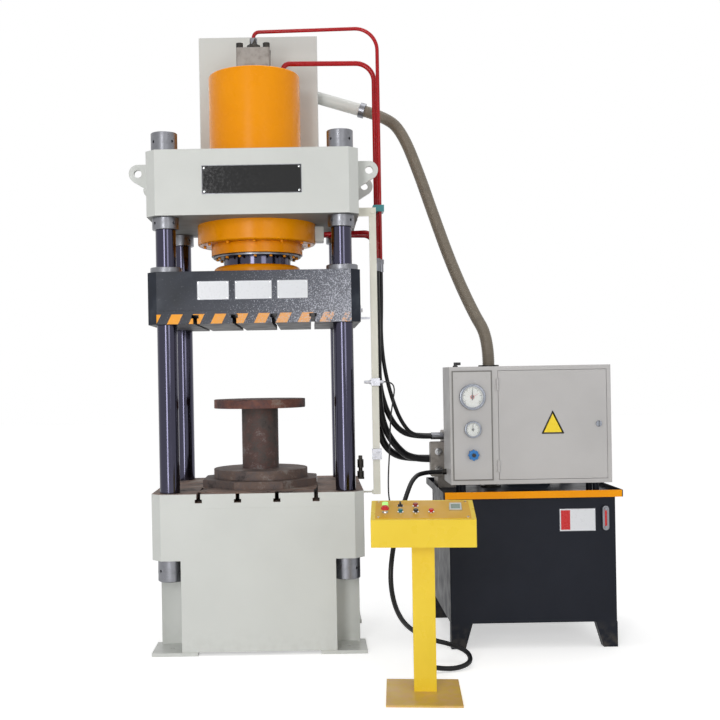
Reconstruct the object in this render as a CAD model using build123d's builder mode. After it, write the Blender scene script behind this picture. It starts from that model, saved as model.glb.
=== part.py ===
from build123d import *
from math import cos, pi, radians, sin, tan
import os

# Four-column hydraulic press with its power unit, control pedestal and hoses, in millimetres.
# The origin is on the floor at the centre of the anchor holes, +Z is up and the front faces -Y.

os.makedirs("parts", exist_ok=True)

# Clearances
still_gap = 0.3        # between pieces that never move against each other
running_gap = 0.05     # radial gap of a running or sliding fit
door_gap = 2.0         # round a door or a panel that swings
travel_gap = 4.0       # round a piece that slides past another one

# Press plan and columns
plan_width = 1200.0
plan_depth = 980.0
corner_cut = 55.0
column_spacing_x = 1000.0
column_spacing_y = 780.0
column_radius = 57.5
column_boss_wall = 32.0
nut_radius = 75.0
nut_edge = 3.0
spanner_hole_radius = 8.0
spanner_hole_depth = 12.0
crown_nut_height = 109.0
crown_lower_nut_height = 70.0
bed_nut_height = 124.0

# Bed
bed_height = 906.0
bed_box_height = 373.0
table_thickness = 80.0
bed_wall = 22.0
skirt_inset = 28.0
nut_pocket_radius = 119.0
foot_width = 260.0
foot_depth = 262.0
foot_thickness = 20.0
foot_margin = 5.0
anchor_hole_radius = 14.0
bed_rib_thickness = 20.0
bed_rib_spacing = 400.0

# T-slots, the same in the bed table and in the slide table
slot_count = 4
slot_pitch = 220.0
slot_neck = 22.0
slot_head = 40.0
slot_neck_depth = 30.0
slot_head_depth = 20.0

# Slide
daylight = 954.0
slide_height = 295.0
slide_table_thickness = 75.0
slide_wall = 25.0
bush_flange_radius = 90.0
bush_flange_height = 30.0
bush_sleeve_radius = 76.0
column_play = 3.0

# Crown
crown_bottom = 2470.0
crown_height = 370.0
crown_plate = 45.0
crown_wall = 28.0
crown_window_width = 240.0
crown_window_height = 150.0
crown_window_offset = 330.0

# Cylinder and ram
barrel_radius = 275.0
ram_radius = 202.5
ram_length = 1060.0
ram_top_room = 63.0
bore_play = 3.5
barrel_end_thickness = 90.0
prefill_port_radius = 60.0
lock_ring_radius = 355.0
lock_ring_height = 121.0
lock_ring_round = 12.0
gland_height = 67.0
gland_wall = 48.0
gland_ring_drop = 10.0
ring_bolt_radius = 9.0
ring_bolt_count = 12
ring_bolt_head = 11.0
gland_bolt_count = 16
ram_flange_radius = 262.0
ram_flange_height = 65.0
ram_flange_round = 30.0

# Prefill valve and fill tank
valve_width = 200.0
valve_depth = 190.0
valve_height = 158.0
valve_bolt_spacing_x = 160.0
valve_bolt_spacing_y = 150.0
valve_bolt_radius = 21.0
valve_bolt_head = 28.0
plug_across = 70.0
plug_height = 38.0
nipple_radius = 14.0
nipple_height = 42.0
duct_radius = 68.0
duct_wall = 6.0
duct_rise = 84.0
tank_width = 750.0
tank_depth = 380.0
tank_front = 300.0
tank_offset = 13.0
tank_rise = 342.0
tank_wall = 6.0
tank_lid_thickness = 8.0
tank_foot_height = 20.0
tank_foot_width = 70.0

# Lifting lugs
lug_thickness = 30.0
lug_spacing_y = 540.0
lug_reach = 70.0
lug_tip_radius = 52.0
lug_hole_radius = 22.5
lug_height = 2745.0
lug_root_bottom = 2640.0

# Cylinder, ram and slide details
barrel_top_round = 10.0
gland_ring_margin = 12.0
ram_wall = 60.0
ram_end_thickness = 80.0
ram_lead = 6.0
bush_screw_circle = 79.0
bush_screw_count = 6
bush_screw_radius = 5.0
striker_rise = 24.0
striker_width = 30.0
striker_offset = 18.0
striker_thickness = 12.0
striker_foot = 80.0
small_nut_radius = 13.0
small_nut_height = 9.0
duct_flange = 18.0
duct_flange_radius = 80.0
tank_edge_round = 6.0
tank_gusset = 190.0

# Return stub on the fill tank
stub_radius = 39.0
stub_wall = 4.0
stub_tank_y = 480.0
stub_tank_z = 3366.0
hose_clamp_width = 34.0
hose_clamp_wall = 9.0

# Steel pipes to the cylinder; the four lower ends stand in one row
port_drop = 60.0
port_bite = 12.0
port_block_length = 50.0
port_block_width = 110.0
port_block_tall = 88.0
port_spread_y = 60.0
upper_pipe_radius = 11.0
middle_pipe_radius = 15.0
lower_pipe_radius = 13.0
upper_pipe_rise = 39.0
middle_pipe_rise = 82.0
middle_pipe_port_x = 176.0
upper_pipe_x = 745.0
middle_pipe_x = 727.0
lower_pipe_x = 712.0
rear_pipe_x = 718.0
upper_pipe_y = -40.0
middle_pipe_y = 20.0
lower_pipe_y = -95.0
rear_pipe_y = 80.0
pipe_end_height = 2250.0
pipe_big_bend = 135.0
pipe_small_bend = 70.0
clamp_height = 2538.0
clamp_tall = 39.0
clamp_margin = 24.0
clamp_arm_width = 50.0
clamp_arm_thickness = 8.0
clamp_foot = 50.0

# Hoses and cables
pressure_hose_radius = 12.0
main_hose_radius = 18.0
return_line_radius = 22.0
return_hose_radius = 37.0
conduit_radius = 13.0
sensor_cable_radius = 4.0
hose_nut_wall = 7.0
hose_sleeve_wall = 4.0
hose_nut_length = 28.0
hose_sleeve_length = 47.0
manifold_nut_length = 22.0
manifold_sleeve_length = 48.0
gland_margin = 4.0

# Limit-switch rail
rail_x = 687.0
rail_y = -240.0
rail_width = 40.0
rail_depth = 20.0
rail_wall = 4.0
rail_bottom = 862.0
rail_top = 2531.0
rail_arm_thickness = 6.0
rail_arm_tall = 50.0
rail_rod_height = 877.0
rail_rod_radius = 5.0
sensor_height = 1516.0
sensor_clip_depth = 24.0
sensor_clip_tall = 44.0
sensor_radius = 9.0
sensor_reach = 38.0
sensor_end_x = 735.0
lower_clip_height = 1097.0
lower_clip_tall = 62.0

# Union at the rear of the bed's right side
union_y = 400.0
union_base = 902.0
union_foot = 44.0
union_radius = 22.0
union_tall = 138.0

# Tooling that stands on the bed
scale_sheet_thickness = 4.0
octagon_across = 675.0
octagon_thickness = 44.0
octagon_edge = 2.0
base_disc_radius = 282.0
base_disc_thickness = 55.0
disc_edge = 2.0
tool_post_radius = 110.0
tool_height = 518.0
top_disc_radius = 275.0
top_disc_thickness = 52.0

# Power unit: oil tank, legs and rim
unit_x = 1550.0
unit_width = 940.0
unit_front = -440.0
unit_depth = 840.0
leg_height = 143.0
leg_depth = 60.0
leg_foot_width = 80.0
leg_head_width = 122.0
oil_tank_height = 707.0
oil_tank_wall = 5.0
unit_edge_round = 12.0
rim_height = 39.0
rim_overhang = 35.0
rim_lip = 6.0
tray_thickness = 12.0
level_gauge_x = 1958.0
level_gauge_z = 730.0
level_gauge_width = 36.0
level_gauge_tall = 138.0
level_gauge_depth = 22.0
standpipe_x = 1398.0
standpipe_y = 50.0
standpipe_top = 1605.0
standpipe_radius = 38.0
standpipe_wall = 4.0
standpipe_flange_radius = 62.0
breather_x = 1920.0
breather_y = 330.0
breather_neck_radius = 32.0
breather_neck_height = 55.0
breather_cap_radius = 46.0
breather_cap_height = 62.0

# Motor, pump and valve manifold
motor_x = 1500.0
motor_y = 240.0
motor_centre_height = 180.0
motor_length = 300.0
motor_radius = 125.0
motor_shell = 16.0
motor_fin_count = 36
motor_fin_height = 12.0
motor_fin_thickness = 4.0
motor_fin_margin = 24.0
motor_foot_spread = 250.0
motor_foot_thickness = 16.0
terminal_box_length = 110.0
terminal_box_width = 120.0
terminal_box_rise = 46.0
motor_shaft_radius = 19.0
coupling_radius = 48.0
coupling_length = 70.0
coupling_gap = 12.0
fan_hub_radius = 34.0
fan_radius = 104.0
fan_blade_count = 8
fan_blade_thickness = 5.0
fan_depth = 38.0
fan_space = 60.0
cowl_wall = 3.0
cowl_clear = 14.0
bell_length = 120.0
bell_flange = 16.0
bell_clear = 14.0
bell_wall = 12.0
pump_length = 150.0
pump_flange = 20.0
pump_radius = 58.0
manifold_x = 1165.0
manifold_width = 90.0
manifold_y = 145.0
manifold_depth = 210.0
manifold_bottom = 930.0
manifold_top = 1205.0
manifold_edge = 6.0
manifold_front_width = 85.0
manifold_front_depth = 80.0
manifold_front_drop = 65.0
manifold_plug_radius = 21.0
manifold_plug_length = 34.0
manifold_plug_levels = (975.0, 1085.0)
upper_port_height = 1172.0
lower_port_height = 1030.0
hose_a_port_y = 85.0
hose_b_port_y = 155.0
hose_c_port_y = 160.0
hose_d_port_y = 215.0

# Electrical cabinet
sheet = 3.0
cabinet_x = 1549.0
cabinet_width = 911.0
cabinet_depth = 300.0
cabinet_height = 666.0
cabinet_foot_height = 66.0
cabinet_foot_radius = 18.0
cabinet_foot_inset = 75.0
cabinet_round = 5.0
door_frame = 26.0
door_width = 610.0
door_fold = 22.0
panel_post = 38.0
panel_width = 221.0
panel_seat = 12.0
panel_thickness = 3.0
panel_screw_radius = 6.0
panel_screw_head = 3.0
large_gauge_drop = 171.0
small_gauge_drop = 354.0
handwheel_drop = 498.0
large_gauge_radius = 74.0
small_gauge_radius = 48.0
large_gauge_bezel = 15.0
small_gauge_bezel = 10.0
gauge_bezel_depth = 22.0
gauge_case_depth = 45.0
gauge_recess = 16.0
gauge_glass = 3.0
spindle_radius = 2.0
pointer_hub_radius = 7.0
pointer_thickness = 1.5
pointer_depth = 11.0
handwheel_radius = 31.0
handwheel_depth = 24.0
handwheel_spindle_radius = 6.0
handwheel_stem_radius = 12.0
hinge_offset = 5.0
hinge_stand = 8.0
hinge_radius = 7.0
hinge_pin_radius = 3.5
hinge_height = 66.0
hinge_spread = 460.0
hinge_leaf = 16.0
hinge_leaf_thickness = 3.0
lock_inset = 46.0
lock_radius = 17.0
lock_stem_radius = 9.0
lock_stand = 9.0
lock_cam_depth = 24.0
lock_cam_reach = 44.0
contactor_count = 6
contactor_pitch = 80.0
connector_inset = 40.0
connector_reach = 30.0

# Control pedestal
pedestal_x = 827.0
console_front = -1410.0
console_width = 500.0
console_depth = 280.0
console_bottom = 737.0
console_front_top = 868.0
console_back_top = 928.0
console_sheet = 2.5
post_setback = 155.0
post_width = 110.0
post_wall = 5.0
post_gland_height = 60.0
gland_length = 30.0
base_width = 362.0
base_depth = 436.0
base_thickness = 10.0
base_offset = 10.0
base_front_margin = 221.0
pedestal_turn = -4.6
sensor_gland_x = 692.0
sensor_gland_z = 800.0
sensor_gland_length = 15.0
console_panel_width = 456.0
console_panel_depth = 250.0
console_panel_thickness = 2.0
control_row = 42.0
control_pitch = 74.0
estop_u = -181.0
bezel_radius = 15.0
bezel_height = 4.0
barrel_tube_radius = 11.0
barrel_tube_length = 38.0
stem_radius = 8.0
stem_reach = 30.0
button_radius = 12.0
button_cap = 8.0
button_travel = 5.0
lamp_height = 22.0
counter_u = 159.0
counter_width = 62.0
counter_tall = 52.0
counter_height = 7.0
estop_radius = 20.0
estop_neck = 12.0

# Routes of the free hoses and cables, from end to end
return_hose_route = [
    (690, 447, 3265), (841, 430.5, 3214.5), (932, 414, 3105), (1018, 380, 2873), (1112, 322, 2560),
    (1212, 245, 2232), (1322, 142, 1935), (1398, 50, 1775), (1398, 50, 1605),
]
hose_a_route = [
    (745, -40, 2175), (745, -40, 1990), (738, -34, 1790), (757, -15, 1590), (806, 20, 1400),
    (862, 60, 1262), (940, 85, 1172), (1050, 85, 1172),
]
hose_b_route = [
    (727, 20, 2175), (727, 20, 1930), (724, 30, 1690), (728, 55, 1500), (768, 95, 1345),
    (836, 135, 1225), (930, 155, 1172), (1050, 155, 1172),
]
hose_c_route = [
    (712, -95, 2175), (712, -95, 1890), (716, -65, 1610), (722, 0, 1385), (753, 60, 1235),
    (830, 125, 1112), (925, 160, 1030), (1050, 160, 1030),
]
hose_d_route = [
    (718, 80, 2175), (718, 80, 1880), (722, 95, 1590), (714, 115, 1340), (735, 148, 1165),
    (808, 190, 1062), (925, 215, 1030), (1050, 215, 1030),
]
conduit_route = [
    (1070, -230, 985), (950, -230, 985), (882, -360, 955), (832, -540, 890), (772, -730, 785),
    (726, -860, 640), (706, -905, 505), (722, -880, 370), (772, -790, 248), (848, -700, 165),
    (950, -670, 112), (1040, -672, 92), (1134, -724, 62), (1134, -824, 30), (1050, -884, 15),
    (950, -892, 20), (868, -967, 60), (855.9, -1116.7, 60),
]
sensor_cable_route = [
    (735, -262, 1516), (775, -262, 1516), (797, -292, 1482), (781, -350, 1410), (764, -405, 1338),
    (753, -470, 1268), (746, -540, 1202), (737, -612, 1142), (727, -690, 1088), (717, -770, 1034),
    (709, -855, 982), (704, -940, 928), (711, -1003, 866), (725.8, -1051.3, 800), (721.4, -1105.8, 800),
]


def cut_plan(width, depth, cut):
    """Plan outline of a welded box whose four upright corners are cut off."""
    with BuildSketch() as outline:
        Rectangle(width, depth)
        chamfer(outline.vertices(), cut)
    return outline.sketch


def slab(low, high, mode=Mode.ADD):
    """Rectangular block between two opposite corners."""
    size = [high[axis] - low[axis] for axis in range(3)]
    centre = [(high[axis] + low[axis]) / 2 for axis in range(3)]
    with Locations(Vector(*centre)):
        Box(*size, mode=mode)


def rod(start, end, radius, mode=Mode.ADD):
    """Round bar from one point to another."""
    axis = Vector(*end) - Vector(*start)
    with BuildSketch(Plane(origin=start, z_dir=axis)) as section:
        Circle(radius)
    extrude(section.sketch, amount=axis.length, mode=mode)


def t_slot_profile(face_height, way):
    """Outlines of the T-slots; way is 1 where the slots open downwards and -1 where they open upwards."""
    neck_middle = face_height + way * slot_neck_depth / 2
    head_middle = face_height + way * (slot_neck_depth + slot_head_depth / 2)
    with BuildSketch(Plane.XZ) as slots:
        with Locations((0, neck_middle)):
            with GridLocations(slot_pitch, 0, slot_count, 1):
                Rectangle(slot_neck, slot_neck_depth + 1)
        with Locations((0, head_middle)):
            with GridLocations(slot_pitch, 0, slot_count, 1):
                Rectangle(slot_head, slot_head_depth)
    return slots.sketch


# Heights that follow from the driving sizes
bed_box_bottom = bed_height - bed_box_height
table_bottom = bed_height - table_thickness
slide_bottom = bed_height + daylight
slide_top = slide_bottom + slide_height
slide_body_bottom = slide_bottom + slide_table_thickness
crown_top = crown_bottom + crown_height
column_bottom = bed_box_bottom - bed_nut_height
column_top = crown_top + crown_nut_height
lock_ring_bottom = crown_bottom - lock_ring_height
gland_bottom = lock_ring_bottom - gland_height
barrel_top = slide_top + ram_length + ram_top_room + barrel_end_thickness
side_face = plan_width / 2
tank_bottom = crown_top + tank_foot_height
tank_top = barrel_top + tank_rise
tank_middle_y = tank_front + tank_depth / 2

# Bed frame: box round the table, skirt with four concave nut pockets, foot plates
with BuildSketch() as skirt_plan:
    Rectangle(plan_width - 2 * skirt_inset, plan_depth)
    with GridLocations(column_spacing_x, column_spacing_y, 2, 2):
        Circle(nut_pocket_radius, mode=Mode.SUBTRACT)
    with GridLocations(plan_width, plan_depth, 2, 2):
        Rectangle(plan_width - column_spacing_x, plan_depth - column_spacing_y, mode=Mode.SUBTRACT)

with BuildPart() as bed_frame:
    with BuildSketch(Plane.XY.offset(foot_thickness)):
        add(skirt_plan.sketch)
    extrude(amount=bed_box_bottom - foot_thickness)
    with BuildSketch(Plane.XY.offset(bed_box_bottom)):
        add(cut_plan(plan_width, plan_depth, corner_cut))
    extrude(amount=bed_box_height - table_thickness)
    with BuildSketch(Plane.XY.offset(foot_thickness)):
        Rectangle(2 * (column_spacing_x / 2 - nut_pocket_radius - bed_wall), plan_depth - 2 * bed_wall)
    extrude(amount=table_bottom - foot_thickness, mode=Mode.SUBTRACT)
    with BuildSketch(Plane.XY.offset(foot_thickness)):
        Rectangle(
            plan_width - 2 * skirt_inset - 2 * bed_wall,
            2 * (column_spacing_y / 2 - nut_pocket_radius - bed_wall),
        )
    extrude(amount=bed_box_bottom - foot_thickness, mode=Mode.SUBTRACT)
    with BuildSketch(Plane.XY.offset(foot_thickness)):
        with GridLocations(bed_rib_spacing, 0, 2, 1):
            Rectangle(bed_rib_thickness, plan_depth - 2 * bed_wall)
    extrude(amount=table_bottom - foot_thickness)
    with BuildSketch():
        with GridLocations(
            plan_width - foot_width + 2 * foot_margin, plan_depth - foot_depth + 2 * foot_margin, 2, 2
        ):
            Rectangle(foot_width, foot_depth)
    extrude(amount=foot_thickness)
    with Locations((0, 0, foot_thickness)):
        with GridLocations(column_spacing_x, column_spacing_y, 2, 2):
            Hole(anchor_hole_radius, depth=foot_thickness)
    with Locations((0, 0, table_bottom)):
        with GridLocations(column_spacing_x, column_spacing_y, 2, 2):
            Hole(column_radius + still_gap, depth=table_bottom - bed_box_bottom)
bed_frame.part.label = "bed_frame"
export_step(bed_frame.part, "parts/bed_frame.step")

# Bed table: thick plate with T-slots from front to back
with BuildPart() as bed_table:
    with BuildSketch(Plane.XY.offset(table_bottom)):
        add(cut_plan(plan_width, plan_depth, corner_cut))
    extrude(amount=table_thickness)
    with BuildSketch(Plane.XZ.offset(plan_depth / 2 + 1)):
        add(t_slot_profile(bed_height, -1))
    extrude(amount=-(plan_depth + 2), mode=Mode.SUBTRACT)
    with Locations((0, 0, bed_height)):
        with GridLocations(column_spacing_x, column_spacing_y, 2, 2):
            Hole(column_radius + still_gap, depth=table_thickness)
bed_table.part.label = "bed_table"
export_step(bed_table.part, "parts/bed_table.step")

# Columns: four ground bars with a small lead at both ends
with BuildPart() as columns:
    with BuildSketch(Plane.XY.offset(column_bottom)):
        with GridLocations(column_spacing_x, column_spacing_y, 2, 2):
            Circle(column_radius)
    extrude(amount=column_top - column_bottom)
    chamfer(columns.edges().filter_by(GeomType.CIRCLE), nut_edge)
columns.part.label = "columns"
export_step(columns.part, "parts/columns.step")


def nut_set(bottom, height):
    """Four round column nuts with spanner holes round them."""
    with BuildPart() as nuts:
        with BuildSketch(Plane.XY.offset(bottom)):
            with GridLocations(column_spacing_x, column_spacing_y, 2, 2):
                Circle(nut_radius)
                Circle(column_radius + still_gap, mode=Mode.SUBTRACT)
        extrude(amount=height)
        rims = nuts.edges().filter_by(GeomType.CIRCLE)
        outer_edges = rims.filter_by(lambda edge: edge.radius > nut_radius - 1)
        chamfer(outer_edges, nut_edge)
        for column in GridLocations(column_spacing_x, column_spacing_y, 2, 2).locations:
            for turn in range(4):
                angle = radians(45 + 90 * turn)
                way = Vector(cos(angle), sin(angle), 0)
                start = column.position + Vector(0, 0, bottom + height / 2) + way * (nut_radius + 1)
                rod(start, start - way * (spanner_hole_depth + 1), spanner_hole_radius, Mode.SUBTRACT)
    return nuts


bed_column_nuts = nut_set(column_bottom, bed_nut_height)

crown_lower_nuts = nut_set(crown_bottom - crown_lower_nut_height, crown_lower_nut_height)

crown_top_nuts = nut_set(crown_top, crown_nut_height)
# All twelve column nuts
with BuildPart() as column_nuts:
    add(bed_column_nuts.part)
    add(crown_lower_nuts.part)
    add(crown_top_nuts.part)
column_nuts.part.label = "column_nuts"
export_step(column_nuts.part, "parts/column_nuts.step")

# Crown: welded box with thick top and bottom plates, column bosses and a tube for the cylinder
with BuildPart() as crown_frame:
    with BuildSketch(Plane.XY.offset(crown_bottom)):
        add(cut_plan(plan_width, plan_depth, corner_cut))
    extrude(amount=crown_height)
    with BuildSketch(Plane.XY.offset(crown_bottom + crown_plate)):
        add(cut_plan(plan_width - 2 * crown_wall, plan_depth - 2 * crown_wall, corner_cut))
        Circle(barrel_radius + crown_wall, mode=Mode.SUBTRACT)
        with GridLocations(column_spacing_x, column_spacing_y, 2, 2):
            Circle(column_radius + column_boss_wall, mode=Mode.SUBTRACT)
    extrude(amount=crown_height - 2 * crown_plate, mode=Mode.SUBTRACT)
    with BuildSketch(Plane.XY.offset(crown_bottom)):
        Circle(barrel_radius + still_gap)
        with GridLocations(column_spacing_x, column_spacing_y, 2, 2):
            Circle(column_radius + still_gap)
    extrude(amount=crown_height, mode=Mode.SUBTRACT)
    with BuildSketch(Plane.XZ.offset(-plan_depth / 2)):
        with Locations((0, crown_bottom + crown_height / 2)):
            with GridLocations(2 * crown_window_offset, 0, 2, 1):
                RectangleRounded(crown_window_width, crown_window_height, crown_wall)
    extrude(amount=crown_wall + corner_cut, mode=Mode.SUBTRACT)
crown_frame.part.label = "crown_frame"
export_step(crown_frame.part, "parts/crown_frame.step")

# Lifting lugs: plates with a level top edge, a sloping lower edge and a round tip
lug_eye_x = side_face + lug_reach
with BuildPart() as lifting_lugs:
    for lug_y in (-lug_spacing_y / 2, lug_spacing_y / 2):
        with BuildSketch(Plane.XZ.offset(-lug_y - lug_thickness / 2)):
            with BuildLine():
                CenterArc((lug_eye_x, lug_height), lug_tip_radius, 0, 360)
                Line((side_face, lug_root_bottom), (side_face, lug_height + lug_tip_radius))
            make_hull()
            with Locations((lug_eye_x, lug_height)):
                Circle(lug_hole_radius, mode=Mode.SUBTRACT)
        extrude(amount=lug_thickness)
    mirror(about=Plane.YZ)
lifting_lugs.part.label = "lifting_lugs"
export_step(lifting_lugs.part, "parts/lifting_lugs.step")

# Cylinder barrel: deep cup with its closed end up and the prefill port in that end
bore_radius = ram_radius + bore_play
with BuildPart() as cylinder_barrel:
    with BuildSketch(Plane.XZ):
        with BuildLine():
            Polyline(
                (bore_radius, lock_ring_bottom),
                (barrel_radius, lock_ring_bottom),
                (barrel_radius, barrel_top),
                (prefill_port_radius, barrel_top),
                (prefill_port_radius, barrel_top - barrel_end_thickness),
                (bore_radius, barrel_top - barrel_end_thickness),
                close=True,
            )
        make_face()
    revolve(axis=Axis.Z)
    rim = cylinder_barrel.edges().filter_by(GeomType.CIRCLE).group_by(Axis.Z)[-1].sort_by(SortBy.RADIUS)[-1]
    fillet(rim, barrel_top_round)
cylinder_barrel.part.label = "cylinder_barrel"
export_step(cylinder_barrel.part, "parts/cylinder_barrel.step")

# Lock ring that holds the cylinder up against the crown
with BuildPart() as lock_ring:
    with BuildSketch(Plane.XY.offset(lock_ring_bottom)):
        Circle(lock_ring_radius)
        Circle(barrel_radius + still_gap, mode=Mode.SUBTRACT)
    extrude(amount=lock_ring_height)
    lower_rim = lock_ring.edges().filter_by(GeomType.CIRCLE).group_by(Axis.Z)[0].sort_by(SortBy.RADIUS)[-1]
    fillet(lower_rim, lock_ring_round)
lock_ring.part.label = "lock_ring"
export_step(lock_ring.part, "parts/lock_ring.step")

# Gland housing below the barrel, with the seal carrier inside it
seal_outer_radius = barrel_radius - gland_wall
with BuildPart() as gland_body:
    with BuildSketch(Plane.XY.offset(gland_bottom)):
        Circle(barrel_radius)
        Circle(seal_outer_radius + still_gap, mode=Mode.SUBTRACT)
    extrude(amount=gland_height)
    lower_rim = gland_body.edges().filter_by(GeomType.CIRCLE).group_by(Axis.Z)[0].sort_by(SortBy.RADIUS)[-1]
    chamfer(lower_rim, nut_edge)

with BuildPart() as gland_ring:
    with BuildSketch(Plane.XZ):
        with BuildLine():
            Polyline(
                (ram_radius + running_gap, gland_bottom - gland_ring_drop),
                (barrel_radius - gland_ring_margin, gland_bottom - gland_ring_drop),
                (barrel_radius - gland_ring_margin, gland_bottom - still_gap),
                (seal_outer_radius, gland_bottom - still_gap),
                (seal_outer_radius, lock_ring_bottom),
                (ram_radius + running_gap, lock_ring_bottom),
                close=True,
            )
        make_face()
    revolve(axis=Axis.Z)

# Gland: housing and seal ring
with BuildPart() as gland_housing:
    add(gland_body.part)
    add(gland_ring.part)
gland_housing.part.label = "gland_housing"
export_step(gland_housing.part, "parts/gland_housing.step")

# Screw heads under the lock ring and under the gland ring
with BuildPart() as ring_screws:
    with BuildSketch(Plane.XY.offset(lock_ring_bottom)):
        with PolarLocations((barrel_radius + lock_ring_radius) / 2, ring_bolt_count):
            Circle(ring_bolt_radius)
            RegularPolygon(ring_bolt_radius / 2, 6, mode=Mode.SUBTRACT)
    extrude(amount=-ring_bolt_head)
    with BuildSketch(Plane.XY.offset(gland_bottom - gland_ring_drop)):
        with PolarLocations((ram_radius + barrel_radius) / 2, gland_bolt_count):
            Circle(ring_bolt_radius)
    extrude(amount=-ring_bolt_head)

# Ram and the flange that bolts it to the slide
with BuildPart() as ram:
    with BuildSketch(Plane.XY.offset(slide_top)):
        Circle(ram_radius)
        Circle(ram_radius - ram_wall, mode=Mode.SUBTRACT)
    extrude(amount=ram_length)
    with BuildSketch(Plane.XY.offset(slide_top)):
        Circle(ram_radius)
    extrude(amount=ram_end_thickness)
    upper_rim = ram.edges().filter_by(GeomType.CIRCLE).group_by(Axis.Z)[-1].sort_by(SortBy.RADIUS)[-1]
    chamfer(upper_rim, ram_lead)
ram.part.label = "ram"
export_step(ram.part, "parts/ram.step")

with BuildPart() as ram_flange:
    with BuildSketch(Plane.XY.offset(slide_top)):
        Circle(ram_flange_radius)
        Circle(ram_radius + still_gap, mode=Mode.SUBTRACT)
    extrude(amount=ram_flange_height)
    upper_rim = ram_flange.edges().filter_by(GeomType.CIRCLE).group_by(Axis.Z)[-1].sort_by(SortBy.RADIUS)[-1]
    fillet(upper_rim, ram_flange_round)
ram_flange.part.label = "ram_flange"
export_step(ram_flange.part, "parts/ram_flange.step")

# Slide: welded box with four bush tubes, closed below by the table with its T-slots
with BuildPart() as slide_box:
    with BuildSketch(Plane.XY.offset(slide_body_bottom)):
        add(cut_plan(plan_width, plan_depth, corner_cut))
        with GridLocations(column_spacing_x, column_spacing_y, 2, 2):
            Circle(bush_sleeve_radius + still_gap, mode=Mode.SUBTRACT)
    extrude(amount=slide_top - slide_body_bottom)
    with BuildSketch(Plane.XY.offset(slide_body_bottom)):
        add(cut_plan(plan_width - 2 * slide_wall, plan_depth - 2 * slide_wall, corner_cut))
        Circle(ram_radius, mode=Mode.SUBTRACT)
        Rectangle(plan_width, slide_wall, mode=Mode.SUBTRACT)
        with GridLocations(column_spacing_x, column_spacing_y, 2, 2):
            Circle(bush_sleeve_radius + slide_wall, mode=Mode.SUBTRACT)
    extrude(amount=slide_top - slide_body_bottom - slide_wall, mode=Mode.SUBTRACT)

with BuildPart() as slide_table:
    with BuildSketch(Plane.XY.offset(slide_bottom)):
        add(cut_plan(plan_width, plan_depth, corner_cut))
        with GridLocations(column_spacing_x, column_spacing_y, 2, 2):
            Circle(column_radius + column_play, mode=Mode.SUBTRACT)
    extrude(amount=slide_table_thickness)
    with BuildSketch(Plane.XZ.offset(plan_depth / 2 + 1)):
        add(t_slot_profile(slide_bottom, 1))
    extrude(amount=-(plan_depth + 2), mode=Mode.SUBTRACT)
slide_table.part.label = "slide_table"
export_step(slide_table.part, "parts/slide_table.step")

with BuildPart() as guide_bushes:
    with BuildSketch(Plane.XY.offset(slide_body_bottom)):
        with GridLocations(column_spacing_x, column_spacing_y, 2, 2):
            Circle(bush_sleeve_radius)
    extrude(amount=slide_top - slide_body_bottom)
    with BuildSketch(Plane.XY.offset(slide_top)):
        with GridLocations(column_spacing_x, column_spacing_y, 2, 2):
            Circle(bush_flange_radius)
    extrude(amount=bush_flange_height)
    flange_rims = guide_bushes.edges().filter_by(GeomType.CIRCLE).group_by(Axis.Z)[-1]
    chamfer(flange_rims, nut_edge)
    with BuildSketch(Plane.XY.offset(slide_body_bottom)):
        with GridLocations(column_spacing_x, column_spacing_y, 2, 2):
            Circle(column_radius + running_gap)
    extrude(amount=slide_top + bush_flange_height - slide_body_bottom, mode=Mode.SUBTRACT)
    for column in GridLocations(column_spacing_x, column_spacing_y, 2, 2).locations:
        with BuildSketch(Plane.XY.offset(slide_top + bush_flange_height)):
            with Locations((column.position.X, column.position.Y)):
                with PolarLocations(bush_screw_circle, bush_screw_count):
                    Circle(bush_screw_radius)
        extrude(amount=-bush_screw_radius, mode=Mode.SUBTRACT)
guide_bushes.part.label = "guide_bushes"
export_step(guide_bushes.part, "parts/guide_bushes.step")

# Striker arm: flat bar on the slide's side, bent up beside the rail
striker_low = slide_bottom + striker_rise
striker_y = rail_y + striker_offset
striker_end = rail_x - rail_width / 2 - travel_gap
with BuildPart() as striker_arm:
    slab(
        (side_face, striker_y - striker_width / 2, striker_low),
        (striker_end, striker_y + striker_width / 2, striker_low + striker_thickness),
    )
    slab(
        (side_face, striker_y - striker_width / 2, striker_low),
        (side_face + striker_thickness, striker_y + striker_width / 2, striker_low + striker_foot),
    )
    with BuildSketch(Plane.YZ.offset(side_face + striker_thickness)):
        with Locations((striker_y, striker_low + striker_foot * 0.65)):
            RegularPolygon(small_nut_radius, 6)
    extrude(amount=small_nut_height)

# Slide with the striker arm on its side
with BuildPart() as slide_body:
    add(slide_box.part)
    add(striker_arm.part)
slide_body.part.label = "slide_body"
export_step(slide_body.part, "parts/slide_body.step")

# Prefill valve block on the barrel's closed end, its four screws, centre plug with the pressure nipple
valve_top = barrel_top + valve_height
with BuildPart() as prefill_valve:
    with BuildSketch(Plane.XY.offset(barrel_top)):
        Rectangle(valve_width, valve_depth)
    extrude(amount=valve_height)
    chamfer(prefill_valve.edges().filter_by(Axis.Z), 2 * nut_edge)
    with BuildSketch(Plane.XY.offset(barrel_top)):
        Circle(prefill_port_radius)
    extrude(amount=duct_rise + prefill_port_radius, mode=Mode.SUBTRACT)
    rod((0, 0, barrel_top + duct_rise), (0, valve_depth / 2 + 1, barrel_top + duct_rise),
        prefill_port_radius, Mode.SUBTRACT)
prefill_valve.part.label = "prefill_valve"
export_step(prefill_valve.part, "parts/prefill_valve.step")

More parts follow.
